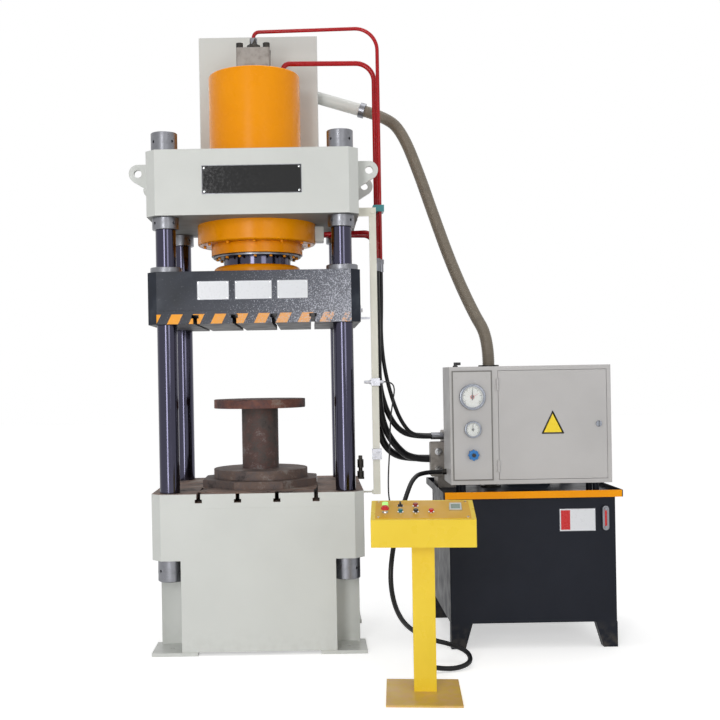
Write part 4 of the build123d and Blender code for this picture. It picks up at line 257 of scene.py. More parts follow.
@dataclass(frozen=True)
class SlideEnamel(Finish):
    """Dark gloss enamel of the slide: pale specks and, on the table's face, slanted bands.

    The specks are painted glints and a painted sheen that stand in for highlights on the orange peel;
    they grow denser to the right, and the bands fade there under them.
    """

    band: str
    # colour of the painted glints and the painted sheen on the slide's front
    glint_colour: str
    shadow: str = "#22262D"
    light: str = "#41464E"
    rubbed: str = "#8C8882"
    band_pitch: float = 0.122
    band_width: float = 0.066
    band_start: float = -0.489
    band_foot: float = 1.860
    band_top: float = 1.915
    lean: float = 0.5
    front: float = -0.4885
    chipped_from: float = -0.1
    chipped_to: float = 0.62
    glint_lean: float = -0.9
    glint_start: float = -2.25
    glint_end: float = -1.25
    roughness: float = 0.24
    chip_mm: float = 16
    cloud_mm: float = 160
    fleck_mm: float = 6
    peel_mm: float = 5

    def dress(self, tree: NodeTree, shader: Node, place: NodeSocket) -> None:
        """Link bands, painted glints and sheen, peel and edge wear."""
        axes = add_node(tree, "SeparateXYZ", {0: place})
        across, depth, height = axes.outputs[0], axes.outputs[1], axes.outputs[2]
        offset = self.band_start - self.lean * self.band_foot
        slant = add_node(tree, "Math", {0: height, 1: -self.lean, 2: across}, operation="MULTIPLY_ADD")
        slant = add_node(tree, "Math", {0: slant, 1: offset}, operation="SUBTRACT")
        turn = add_node(tree, "Math", {0: slant, 1: self.band_pitch}, operation="FLOORED_MODULO")
        edge_noise = add_node(
            tree, "TexNoise", {"Vector": place, "Scale": per_size(self.fleck_mm), "Detail": 3.0}
        )
        rough_turn = add_node(
            tree, "Math", {0: edge_noise, 1: 0.006, 2: turn}, operation="MULTIPLY_ADD"
        )
        inside = add_node(tree, "Math", {0: rough_turn, 1: self.band_width}, operation="LESS_THAN")
        beneath = add_node(tree, "Math", {0: height, 1: self.band_top}, operation="LESS_THAN")
        fore = add_node(tree, "Math", {0: depth, 1: self.front}, operation="LESS_THAN")
        both = add_node(tree, "Math", {0: inside, 1: beneath}, operation="MULTIPLY")
        bands = add_node(tree, "Math", {0: both, 1: fore}, operation="MULTIPLY")
        chips = add_node(
            tree, "TexNoise",
            {"Vector": place, "Scale": per_size(self.chip_mm), "Detail": 6.0, "Roughness": 0.75},
        )
        fade = add_node(
            tree, "MapRange", {"Value": across, "From Min": self.chipped_from, "From Max": self.chipped_to,
                               "To Min": 0.80, "To Max": 0.44}
        )
        kept = add_node(tree, "Math", {0: chips, 1: fade}, operation="LESS_THAN")
        orange = add_node(tree, "Math", {0: bands, 1: kept}, operation="MULTIPLY")
        clouds = add_node(
            tree, "TexNoise", {"Vector": place, "Scale": per_size(self.cloud_mm), "Detail": 4.0}
        )
        base = add_node(
            tree, "ValToRGB", {0: clouds},
            stops=((0.3, self.shadow), (0.55, self.colour), (0.78, self.light)),
        )
        banded = add_node(tree, "Mix", {0: orange, 6: base, 7: self.band}, data_type="RGBA")
        # Painted glints: pale specks stand in for highlights on the orange peel, points of about 1 mm drawn
        # 6 mm across, as the photograph's pixels show it
        glint_noise = add_node(
            tree, "TexNoise",
            {"Vector": place, "Scale": per_size(self.fleck_mm), "Detail": 3.0, "Roughness": 0.7},
        )
        glint_slant = add_node(
            tree, "Math", {0: height, 1: self.glint_lean, 2: across}, operation="MULTIPLY_ADD"
        )
        limit = add_node(
            tree, "MapRange", {"Value": glint_slant, "From Min": self.glint_start, "From Max": self.glint_end,
                               "To Min": 0.68, "To Max": 0.44}
        )
        above = add_node(tree, "Math", {0: glint_noise, 1: limit}, operation="SUBTRACT")
        glint_spots = add_node(tree, "MapRange", {"Value": above, "From Max": 0.12, "To Max": 0.9})
        # Painted sheen: a pale haze in the glint colour, growing to the right, stands in for a soft
        # reflection
        sheen_haze = add_node(
            tree, "MapRange", {"Value": glint_slant, "From Min": self.glint_start, "From Max": self.glint_end,
                               "To Max": 0.30}
        )
        glints_and_sheen = add_node(tree, "Math", {0: glint_spots, 1: sheen_haze}, operation="MAXIMUM")
        specks = add_node(tree, "Math", {0: glints_and_sheen, 1: fore}, operation="MULTIPLY")
        specked = add_node(
            tree, "Mix", {0: specks, 6: banded.outputs[2], 7: self.glint_colour}, data_type="RGBA"
        )
        normal, edge = worn_edges(tree, place, 2.5 * MM)
        worn = add_node(tree, "Mix", {0: edge, 6: specked.outputs[2], 7: self.rubbed}, data_type="RGBA")
        tree.links.new(worn.outputs[2], shader.inputs["Base Color"])
        peel = add_node(
            tree, "TexNoise", {"Vector": place, "Scale": per_size(self.peel_mm), "Detail": 3.0}
        )
        bump = add_node(
            tree, "Bump", {"Strength": 0.2, "Distance": 0.6 * MM, "Height": peel, "Normal": normal}
        )
        tree.links.new(bump.outputs[0], shader.inputs["Normal"])
        shader.inputs["Roughness"].default_value = self.roughness
        shader.inputs["IOR"].default_value = 1.5
        shader.inputs["Specular IOR Level"].default_value = 0.1


@dataclass(frozen=True)
class GroundSteel(Finish):
    """Steel rod, ground and hard-chromed: a mirror along its length with hair-fine polishing lines."""

    roughness: float = 0.09
    line_mm: float = 5
    film_mm: float = 120

    def dress(self, tree: NodeTree, shader: Node, place: NodeSocket) -> None:
        """Link polishing lines and a faint oil film."""
        shader.inputs["Metallic"].default_value = 1.0
        squeezed = add_node(tree, "Mapping", {"Vector": place, "Scale": (1.0, 1.0, 0.02)})
        # Polishing lines are a few hundredths of a millimetre; drawn 5 mm apart so that they show
        lines = add_node(
            tree, "TexNoise", {"Vector": squeezed, "Scale": per_size(self.line_mm), "Detail": 4.0}
        )
        film = add_node(
            tree, "TexNoise", {"Vector": place, "Scale": per_size(self.film_mm), "Detail": 5.0}
        )
        summed = add_node(tree, "Math", {0: lines, 1: film}, operation="ADD")
        gloss = add_node(
            tree, "MapRange", {"Value": summed, "From Min": 0.7, "From Max": 1.35,
                               "To Min": self.roughness * 0.5, "To Max": self.roughness * 2.2}
        )
        tree.links.new(gloss.outputs[0], shader.inputs["Roughness"])
        bump = add_node(tree, "Bump", {"Strength": 0.05, "Distance": 0.2 * MM, "Height": lines})
        tree.links.new(bump.outputs[0], shader.inputs["Normal"])


@dataclass(frozen=True)
class TurnedSteel(Finish):
    """Bare steel turned or milled: tool marks in rings and a thin coat of oil and dust."""

    stain: str = "#717276"
    edge_colour: str = "#E2E3E4"
    roughness: float = 0.32
    mark_mm: float = 3.0
    stain_mm: float = 35

    def dress(self, tree: NodeTree, shader: Node, place: NodeSocket) -> None:
        """Link tool marks, stains and soft edges."""
        shader.inputs["Metallic"].default_value = 1.0
        # Tool marks are 0.3 mm apart on the real piece; drawn ten times as coarse so that they show
        marks = add_node(
            tree, "TexWave",
            {"Vector": place, "Scale": per_band(self.mark_mm), "Distortion": 0.4, "Detail": 1.0},
            bands_direction="Z",
        )
        stains = add_node(
            tree, "TexNoise",
            {"Vector": place, "Scale": per_size(self.stain_mm), "Detail": 6.0, "Roughness": 0.65},
        )
        amount = add_node(tree, "MapRange", {"Value": stains, "From Min": 0.5, "From Max": 0.75})
        shade = add_node(tree, "Mix", {0: amount, 6: self.colour, 7: self.stain}, data_type="RGBA")
        normal, edge = worn_edges(tree, place, 1.5 * MM)
        bright = add_node(
            tree, "Mix", {0: edge, 6: shade.outputs[2], 7: self.edge_colour}, data_type="RGBA"
        )
        tree.links.new(bright.outputs[2], shader.inputs["Base Color"])
        gloss = add_node(
            tree, "MapRange", {"Value": stains, "From Min": 0.3, "From Max": 0.7,
                               "To Min": self.roughness - 0.08, "To Max": self.roughness + 0.18}
        )
        tree.links.new(gloss.outputs[0], shader.inputs["Roughness"])
        bump = add_node(
            tree, "Bump",
            {"Strength": 0.12, "Distance": 0.3 * MM, "Height": marks.outputs["Fac"], "Normal": normal},
        )
        tree.links.new(bump.outputs[0], shader.inputs["Normal"])


@dataclass(frozen=True)
class RustedSteel(Finish):
    """Flame-cut steel left bare: mill scale with brown rust blooms and grey rubbed patches."""

    rust: str
    scale: str
    pit: str = "#2E2624"
    rubbed: str = "#A29C97"
    bloom: float = 0.5
    roughness: float = 0.7
    bloom_mm: float = 190
    pit_mm: float = 9

    def dress(self, tree: NodeTree, shader: Node, place: NodeSocket) -> None:
        """Link blooms, pits, scale and bump."""
        broad = add_node(
            tree, "TexNoise",
            {"Vector": place, "Scale": per_size(self.bloom_mm), "Detail": 8.0, "Roughness": 0.68},
        )
        pits = add_node(
            tree, "TexNoise",
            {"Vector": place, "Scale": per_size(self.pit_mm), "Detail": 6.0, "Roughness": 0.7},
        )
        mixed = add_node(tree, "Math", {0: pits, 1: 0.35, 2: broad}, operation="MULTIPLY_ADD")
        centre = 0.18 + self.bloom
        tone = add_node(
            tree, "ValToRGB", {0: mixed},
            stops=((centre - 0.16, self.pit), (centre - 0.04, self.colour), (centre + 0.06, self.rust),
                   (centre + 0.15, self.scale)),
        )
        normal, edge = worn_edges(tree, place, 2.5 * MM)
        rubbed = add_node(tree, "Mix", {0: edge, 6: tone, 7: self.rubbed}, data_type="RGBA")
        tree.links.new(rubbed.outputs[2], shader.inputs["Base Color"])
        gloss = add_node(
            tree, "MapRange", {"Value": pits, "From Min": 0.3, "From Max": 0.7,
                               "To Min": self.roughness - 0.15, "To Max": self.roughness + 0.15}
        )
        tree.links.new(gloss.outputs[0], shader.inputs["Roughness"])
        bump = add_node(
            tree, "Bump", {"Strength": 0.5, "Distance": 1.2 * MM, "Height": pits, "Normal": normal}
        )
        tree.links.new(bump.outputs[0], shader.inputs["Normal"])
        shader.inputs["Metallic"].default_value = 0.35


@dataclass(frozen=True)
class MouldedPlastic(Finish):
    """Injection-moulded plastic with a fine spark-eroded grain."""

    roughness: float = 0.32
    grain_mm: float = 0.8
    touch_mm: float = 14
    glow: float = 0.0

    def dress(self, tree: NodeTree, shader: Node, place: NodeSocket) -> None:
        """Link the grain and a faint change of gloss from handling."""
        shader.inputs["IOR"].default_value = 1.46
        grain = add_node(
            tree, "TexNoise", {"Vector": place, "Scale": per_size(self.grain_mm), "Detail": 2.0}
        )
        touch = add_node(
            tree, "TexNoise", {"Vector": place, "Scale": per_size(self.touch_mm), "Detail": 3.0}
        )
        gloss = add_node(
            tree, "MapRange", {"Value": touch, "From Min": 0.3, "From Max": 0.7,
                               "To Min": self.roughness - 0.06, "To Max": self.roughness + 0.08}
        )
        tree.links.new(gloss.outputs[0], shader.inputs["Roughness"])
        bump = add_node(tree, "Bump", {"Strength": 0.15, "Distance": 0.1 * MM, "Height": grain})
        tree.links.new(bump.outputs[0], shader.inputs["Normal"])
        if self.glow:
            shader.inputs["Emission Color"].default_value = linear(self.colour)
            shader.inputs["Emission Strength"].default_value = self.glow


@dataclass(frozen=True)
class ExtrudedRubber(Finish):
    """Extruded synthetic rubber or soft PVC: dull and dusty, with faint marks of its curing cloth."""

    roughness: float = 0.33
    dust: float = 0.10
    dust_colour: str = "#55524E"
    wrap_mm: float = 9
    film_mm: float = 50

    def dress(self, tree: NodeTree, shader: Node, place: NodeSocket) -> None:
        """Link wrap marks and dust."""
        shader.inputs["IOR"].default_value = 1.52
        shader.inputs["Specular IOR Level"].default_value = 0.25
        wrap = add_node(
            tree, "TexWave",
            {"Vector": place, "Scale": per_band(self.wrap_mm), "Distortion": 1.5, "Detail": 2.0},
            bands_direction="Z",
        )
        film = add_node(
            tree, "TexNoise", {"Vector": place, "Scale": per_size(self.film_mm), "Detail": 6.0}
        )
        amount = add_node(
            tree, "MapRange", {"Value": film, "From Min": 0.5, "From Max": 0.8, "To Max": self.dust}
        )
        shade = add_node(
            tree, "Mix", {0: amount, 6: self.colour, 7: self.dust_colour}, data_type="RGBA"
        )
        tree.links.new(shade.outputs[2], shader.inputs["Base Color"])
        gloss = add_node(
            tree, "MapRange", {"Value": film, "From Min": 0.3, "From Max": 0.7,
                               "To Min": self.roughness - 0.08, "To Max": self.roughness + 0.15}
        )
        tree.links.new(gloss.outputs[0], shader.inputs["Roughness"])
        bump = add_node(
            tree, "Bump", {"Strength": 0.12, "Distance": 0.4 * MM, "Height": wrap.outputs["Fac"]}
        )
        tree.links.new(bump.outputs[0], shader.inputs["Normal"])


@dataclass(frozen=True)
class ClearGlass(Finish):
    """Thin float glass over a gauge's dial: it lets the dial through and keeps the reflections."""

    cover: float = 0.12
    smear_mm: float = 20

    def dress(self, tree: NodeTree, shader: Node, place: NodeSocket) -> None:
        """Link the faintest smears to the gloss."""
        shader.inputs["IOR"].default_value = 1.5
        shader.inputs["Alpha"].default_value = self.cover
        smears = add_node(
            tree, "TexNoise", {"Vector": place, "Scale": per_size(self.smear_mm), "Detail": 3.0}
        )
        gloss = add_node(
            tree, "MapRange", {"Value": smears, "From Min": 0.4, "From Max": 0.8, "To Max": 0.06}
        )
        tree.links.new(gloss.outputs[0], shader.inputs["Roughness"])


@dataclass(frozen=True)
class PrintedDial(Finish):
    """White enamelled dial of a gauge, screen-printed: crisp black graduations inside a thin ring."""

    centre: tuple[float, float] = (0.0, 0.0)
    radius: float = 0.06
    marks: int = 36
    scale_end_degrees: float = 138
    ink_colour: str = "#17181A"

    def dress(self, tree: NodeTree, shader: Node, place: NodeSocket) -> None:
        """Link ticks worked out from the angle and distance round the dial's centre."""
        axes = add_node(tree, "SeparateXYZ", {0: place})
        right = add_node(tree, "Math", {0: axes.outputs[0], 1: self.centre[0]}, operation="SUBTRACT")
        up = add_node(tree, "Math", {0: axes.outputs[2], 1: self.centre[1]}, operation="SUBTRACT")
        angle = add_node(tree, "Math", {0: right, 1: up}, operation="ARCTAN2")
        flat = add_node(tree, "CombineXYZ", {0: right, 1: up})
        away = add_node(tree, "VectorMath", {0: flat}, operation="LENGTH").outputs["Value"]
        ink = None
        for count, start, end, share in (
            (self.marks, 0.80, 0.92, 0.16), (self.marks // 4, 0.70, 0.92, 0.07), (1, 0.915, 0.935, 2.0),
        ):
            pitch = 2 * math.pi / count
            turn = add_node(tree, "Math", {0: angle, 1: pitch}, operation="FLOORED_MODULO")
            tick = add_node(tree, "Math", {0: turn, 1: pitch * share}, operation="LESS_THAN")
            over = add_node(tree, "Math", {0: away, 1: start * self.radius}, operation="GREATER_THAN")
            under = add_node(tree, "Math", {0: away, 1: end * self.radius}, operation="LESS_THAN")
            ring = add_node(tree, "Math", {0: over, 1: under}, operation="MULTIPLY")
            mark = add_node(tree, "Math", {0: ring, 1: tick}, operation="MULTIPLY")
            ink = mark if ink is None else add_node(tree, "Math", {0: ink, 1: mark}, operation="MAXIMUM")
        # No marks in the open part of the scale, at the bottom
        scale = add_node(tree, "Math", {0: angle}, operation="ABSOLUTE")
        open_part = add_node(
            tree, "Math", {0: scale, 1: math.radians(self.scale_end_degrees)}, operation="LESS_THAN"
        )
        shown = add_node(tree, "Math", {0: ink, 1: open_part}, operation="MULTIPLY")
        shade = add_node(tree, "Mix", {0: shown, 6: self.colour, 7: self.ink_colour}, data_type="RGBA")
        tree.links.new(shade.outputs[2], shader.inputs["Base Color"])
        shader.inputs["Roughness"].default_value = 0.35
        shader.inputs["IOR"].default_value = 1.5


PRESS_WHITE = SprayedEnamel(
    "grey-white enamel", "#D4D6D2", "#D0D2CE", "#A9A9A4", floor_dirt=0.08, shine=0.2
)
TRAY_ORANGE = SprayedEnamel(
    "orange tray enamel", "#F69E00", "#F29600", "#B08A55", roughness=0.3, edge=0.0006, shine=0.15
)
CYLINDER_ORANGE = SprayedEnamel(
    "orange-yellow enamel", "#F59A00", "#F09300", "#B08A55", roughness=0.27, shine=0.18
)
TANK_BLACK = SprayedEnamel(
    "blue-black enamel", "#161922", "#1B1E27", "#5A5A58", roughness=0.42, floor_dirt=0.3, edge=0.001,
    shine=0.15,
)
CABINET_GREY = SprayedEnamel(
    "fine-textured grey enamel", "#BBB9B8", "#B4B2B1", "#8F8D8B", roughness=0.45, peel_mm=2.5, wear=0.35,
    edge=0.001,
)
PEDESTAL_YELLOW = SprayedEnamel(
    "yellow enamel", "#EFCF3A", "#E6C42C", "#9C8B4E", roughness=0.3, edge=0.0008, shine=0.3
)
BASE_YELLOW = SprayedEnamel(
    "scuffed yellow enamel", "#DDBA4C", "#D2AA4C", "#7A4A2C", roughness=0.42, wear=0.9, floor_dirt=0.95,
    dirt_colour="#D9AE7E", dirt_height=0.022,
)
PANEL_YELLOW = SprayedEnamel(
    "amber enamel", "#DDAA22", "#D4A01C", "#A08C50", roughness=0.35, wear=0.3, edge=0.0006, shine=0.3
)
PIPE_RED = SprayedEnamel(
    "crimson enamel", "#AE0712", "#9C0610", "#7A6A64", roughness=0.25, wear=0.4, shine=0.3
)
MOTOR_GREY = SprayedEnamel("slate enamel", "#4A5560", "#444E58", "#7C8288", roughness=0.4)
RAIL_CREAM = SprayedEnamel("cream enamel", "#E4E2D6", "#D9D7C8", "#A5A39A", roughness=0.35, edge=0.001)
CLAMP_TEAL = SprayedEnamel("teal enamel", "#3F8F92", "#37858A", "#8A9796", roughness=0.35)
# The slide's pale specks and haze, #C6C8D2, are painted glints and painted sheen
SLIDE_NAVY = SlideEnamel("dark navy gloss enamel", "#292D37", "#F6A20C", "#C6C8D2")
# Painted reflection: a dark base colour stands in for the dark surroundings that the chrome mirrors
CHROME_PAINTED_DARK = GroundSteel("hard-chromed ground steel", "#434250")
TURNED = TurnedSteel("turned steel", "#7E7F84")
GREY_CASTING = TurnedSteel("machined grey iron", "#8C8782", stain="#827D78", roughness=0.5)
BLACKED = TurnedSteel("oil-blacked steel", "#3B3937", stain="#57524C", roughness=0.4)
ZINC = TurnedSteel("zinc-plated steel", "#BEBFC6", stain="#A4A5AC")
# Painted reflection: the bezels' chrome is set dark to stand in for dark surroundings mirrored in it
BEZEL_PAINTED_DARK = GroundSteel("chromed bezel", "#8F939B", roughness=0.12)
POLISHED = GroundSteel("polished chrome plate", "#DADCDE", roughness=0.08)
DARK_PLATE = SprayedEnamel(
    "oiled dark plate", "#35343A", "#2D2C30", "#5A5650", roughness=0.5, wear=0.5, shine=0.3
)
BARE_PLATE = SprayedEnamel(
    "primed grey steel", "#8D8F8D", "#7B7D7B", "#6A655F", roughness=0.6, wear=0.5
)
RUST_TABLE = RustedSteel("rusted table plate", "#7E6F68", "#907567", "#A2988F", bloom=0.48)
RUST_BASE = RustedSteel("scaled base plates", "#625856", "#6F5C53", "#8C8480", bloom=0.48)
RUST_DISC = RustedSteel("rusted top disc", "#5B3F3C", "#72483C", "#86766C", bloom=0.5)
RUST_STAND = RustedSteel("rusted cast stand", "#524A47", "#5F4641", "#7C7674", bloom=0.5)
GREY_RUBBER = ExtrudedRubber("grey sealing rubber", "#7A7875")
RUBBER = ExtrudedRubber("black hose rubber", "#101013")
WIRED_PVC = ExtrudedRubber("grey reinforced hose", "#7B7265", roughness=0.36, dust=0.35)
BLUE_PLASTIC = MouldedPlastic("blue moulded plastic", "#2472B6")
RED_PLASTIC = MouldedPlastic("red moulded plastic", "#C41A1C", roughness=0.28)
DARK_RED_PLASTIC = MouldedPlastic("dark red moulded plastic", "#8A2020", roughness=0.28)
BLUE_GREEN_PLASTIC = MouldedPlastic("blue-green moulded plastic", "#1C6E78", roughness=0.28)
BLACK_PLASTIC = MouldedPlastic("black moulded plastic", "#1E1E1F", roughness=0.38)
GREY_PLASTIC = MouldedPlastic("grey moulded plastic", "#B7BAB6", roughness=0.42)
LAMP_GREEN = MouldedPlastic("lit green lens", "#A8EE86", roughness=0.15, glow=0.55)
DISPLAY_GREEN = MouldedPlastic("display window", "#5E7466", roughness=0.12)
GLASS = ClearGlass("float glass", "#F4F8F7")
GLOSS_BLACK = MouldedPlastic("black gloss acrylic", "#0C0C0E", roughness=0.08, grain_mm=400)
PRINTED_WHITE = MouldedPlastic("white printed sheet", "#DDDFE3", roughness=0.3, grain_mm=12)
SIGN_YELLOW = MouldedPlastic("yellow printed sheet", "#F2D21B", roughness=0.3, grain_mm=12)
POINTER_RED = MouldedPlastic("red lacquer", "#C8201C", roughness=0.3)


class Slot(Enum):
    """Material slots of the record, passed along with new pieces."""

    SLIDE = "slide_paint"
    UNIT = "unit_paint"
    CABINET = "cabinet_paint"
    CHROME = "gauge_chrome"
    RUBBER = "black_rubber"
    HOSE = "steel_hose"
    RED = "red_plastic"
    BLACK = "black_plastic"


def low(node: str) -> Vector:
    """Lowest corner of a CAD node."""
    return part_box(node)[0]


def high(node: str) -> Vector:
    """Highest corner of a CAD node."""
    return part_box(node)[1]


def coat(finish: Finish, *nodes: str) -> None:
    """Give CAD nodes one finish all over."""
    for node in nodes:
        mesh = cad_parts[node].data
        mesh.materials.clear()
        mesh.materials.append(finish.make())
        for polygon in mesh.polygons:
            polygon.material_index = 0
        log.info("%s: %s", node, finish.name)


def coat_where(node: str, finish: Finish, test: Callable[[Vector, Vector], bool]) -> None:
    """Give a second finish to the faces of a CAD node that lie where test says.

    Args:
        node: the CAD node's name.
        finish: the finish for those faces.
        test: takes a face's centre and normal and says whether it gets the finish.
    """
    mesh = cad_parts[node].data
    material = finish.make()
    if mesh.materials.find(material.name) < 0:
        mesh.materials.append(material)
    index = mesh.materials.find(material.name)
    for polygon in mesh.polygons:
        if test(polygon.center, polygon.normal):
            polygon.material_index = index


def deselect() -> None:
    """Leave edit mode and select nothing."""
    if bpy.context.object and bpy.context.object.mode != "OBJECT":
        bpy.ops.object.mode_set(mode="OBJECT")
    bpy.ops.object.select_all(action="DESELECT")


def apply_modifier(piece: Object, kind: str, **settings: object) -> None:
    """Add a modifier to a piece and apply it at once.

    Args:
        piece: the object.
        kind: the modifier's type.
        settings: the modifier's properties.
    """
    deselect()
    piece.select_set(True)
    bpy.context.view_layer.objects.active = piece
    modifier = piece.modifiers.new(kind.title(), kind)
    for key, value in settings.items():
        setattr(modifier, key, value)
    bpy.ops.object.modifier_apply(modifier=modifier.name)


def new_block(name: str, lowest: Iterable[float], highest: Iterable[float]) -> Object:
    """Add a cube primitive between two corners.

    Args:
        name: the piece's name.
        lowest: its lowest corner in metres.
        highest: its highest corner in metres.

    Returns:
        The new object.
    """
    deselect()
    start, end = Vector(lowest), Vector(highest)
    bpy.ops.mesh.primitive_cube_add(size=1, location=(start + end) / 2, scale=end - start)
    piece = bpy.context.object
    piece.name = piece.data.name = name
    bpy.ops.object.transform_apply(location=True, rotation=True, scale=True)
    return piece


def new_disc(
    name: str, centre: Iterable[float], radius: float, height: float, edge: float = 0.0,
    vertices: int = 32,
) -> Object:
    """Add a cylinder primitive that faces the operator and round its rims.

    Args:
        name: the piece's name.
        centre: the middle of the cylinder.
        radius: its radius.
        height: its length along its own axis.
        edge: the radius of its rims.
        vertices: the number of its sides.

    Returns:
        The new object.
    """
    deselect()
    bpy.ops.mesh.primitive_cylinder_add(
        vertices=vertices, radius=radius, depth=height, location=Vector(centre), rotation=FACING
    )
    piece = bpy.context.object
    piece.name = piece.data.name = name
    bpy.ops.object.transform_apply(location=True, rotation=True, scale=True)
    if edge:
        apply_modifier(piece, "BEVEL", width=edge, segments=3, limit_method="ANGLE")
    bpy.ops.object.shade_smooth_by_angle(angle=math.radians(35))
    return piece


def join(pieces: list[Object], name: str) -> Object:
    """Join pieces into the first one."""
    deselect()
    for piece in pieces:
        piece.select_set(True)
    bpy.context.view_layer.objects.active = pieces[0]
    if len(pieces) > 1:
        bpy.ops.object.join()
    pieces[0].name = pieces[0].data.name = name
    return pieces[0]


def copy_to(piece: Object, shift: Iterable[float], name: str) -> Object:
    """Copy a piece with its own mesh, shifted."""
    twin = piece.copy()
    twin.data = piece.data.copy()
    twin.name = twin.data.name = name
    twin.data.transform(Matrix.Translation(Vector(shift)))
    bpy.context.collection.objects.link(twin)
    return twin


def fit(piece: Object, body: str, slot: Slot, *finishes: Finish) -> None:
    """Dress a finished piece and let it ride on its body.

    Args:
        piece: the object, with its place in its mesh.
        body: the CAD body it moves with.
        slot: the record's material slot; not used.
        finishes: its materials, in slot order.
    """
    piece.data.materials.clear()
    for finish in finishes:
        piece.data.materials.append(finish.make())
    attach(piece, body)
    log.info("%s rides on %s", piece.name, body)


def pick_faces(piece: Object, test: Callable[[Vector, Vector], bool]) -> None:
    """Enter edit mode with only the faces selected that test picks by centre and normal."""
    deselect()
    piece.select_set(True)
    bpy.context.view_layer.objects.active = piece
    bpy.ops.object.mode_set(mode="EDIT")
    bpy.ops.mesh.select_mode(type="FACE")
    bpy.ops.mesh.select_all(action="DESELECT")
    bpy.ops.object.mode_set(mode="OBJECT")
    for polygon in piece.data.polygons:
        polygon.select = test(polygon.center, polygon.normal)
    bpy.ops.object.mode_set(mode="EDIT")


def leave_edit() -> None:
    """Go back to object mode."""
    bpy.ops.object.mode_set(mode="OBJECT")


@dataclass
class Hose:
    """A free hose or cable: its centreline in metres, its size and where it ends."""

    node: str
    route: list[tuple[float, float, float]]
    radius: float
    length: float
    finish: Finish = RUBBER
    slot: Slot = Slot.RUBBER
    stiffness: str = "stiff"
    far_end: str = "object"

    def line(self) -> Object:
        """Make the NURBS centreline through the route's points."""
        curve = bpy.data.curves.new(self.node + "_line", "CURVE")
        curve.dimensions = "3D"
        curve.resolution_u = 12
        spline = curve.splines.new("NURBS")
        spline.points.add(len(self.route) - 1)
        for point, place in zip(spline.points, self.route):
            point.co = (*place, 1.0)
        spline.order_u = 3
        spline.use_endpoint_u = True
        piece = bpy.data.objects.new(self.node + "_tube", curve)
        bpy.context.collection.objects.link(piece)
        return piece

    def build(self) -> None:
        piece = self.line()
        piece.data.bevel_depth = self.radius
        piece.data.bevel_resolution = 7
        piece.data.use_fill_caps = True
        piece.data.materials.append(self.finish.make())
        self.declare(piece)

    def declare(self, piece: Object, **path: list) -> None:
        """Let the tube replace its CAD node and ride on the frame."""
        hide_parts(self.node)
        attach(piece, FRAME_BODY)
        log.info("%s follows %d points", piece.name, len(self.route))


@dataclass
class CorrugatedHose(Hose):
    """A hose whose wall is ridged by the wire wound inside it."""

    pitch: float = 0.011
    ridge: float = 0.0022
    around: int = 28

    def build(self) -> None:
        """Sweep rings of changing radius along the smooth centreline."""
        guide = self.line()
        sampled = bpy.data.meshes.new_from_object(guide)
        path = [vertex.co.copy() for vertex in sampled.vertices]
        bpy.data.meshes.remove(sampled)
        bpy.data.objects.remove(guide)
        stations = self.stations(path)
        shape = bmesh.new()
        rings = []
        side = Vector((0, 1, 0))
        for place, along, reach in stations:
            side = (side - along * side.dot(along)).normalized()
            other = along.cross(side)
            turns = [2 * math.pi * step / self.around for step in range(self.around)]
            spokes = [side * math.cos(turn) + other * math.sin(turn) for turn in turns]
            rings.append([shape.verts.new(place + spoke * reach) for spoke in spokes])
        for ring, following in zip(rings, rings[1:]):
            for step in range(self.around):
                after = (step + 1) % self.around
                shape.faces.new((ring[step], ring[after], following[after], following[step]))
        shape.faces.new(reversed(rings[0]))
        shape.faces.new(rings[-1])
        mesh = bpy.data.meshes.new(self.node + "_tube")
        shape.to_mesh(mesh)
        shape.free()
        mesh.polygons.foreach_set("use_smooth", [True] * len(mesh.polygons))
        piece = bpy.data.objects.new(self.node + "_tube", mesh)
        bpy.context.collection.objects.link(piece)
        mesh.materials.append(self.finish.make())
        self.declare(piece, path=[tuple(place) for place in path])

    def stations(self, path: list[Vector]) -> list[tuple[Vector, Vector, float]]:
        """Places along the line, each with its direction and the wall's radius there.

        Args:
            path: points read from the smooth line.

        Returns:
            Four stations a ridge: place, direction and radius.
        """
        runs = [(end - start).length for start, end in zip(path, path[1:])]
        total = sum(runs)
        count = round(total / self.pitch) * 4
        found, index, passed = [], 0, 0.0
        for step in range(count + 1):
            goal = total * step / count
            while index < len(runs) - 1 and passed + runs[index] < goal:
                passed += runs[index]
                index += 1
            share = min(1.0, (goal - passed) / runs[index])
            place = path[index].lerp(path[index + 1], share)
            along = (path[index + 1] - path[index]).normalized()
            if found:
                along = (along + found[-1][1]).normalized()
            height = (1, 0, -1, 0)[step % 4] * self.ridge / 2
            found.append((place, along, self.radius - self.ridge / 2 + height))
        return found


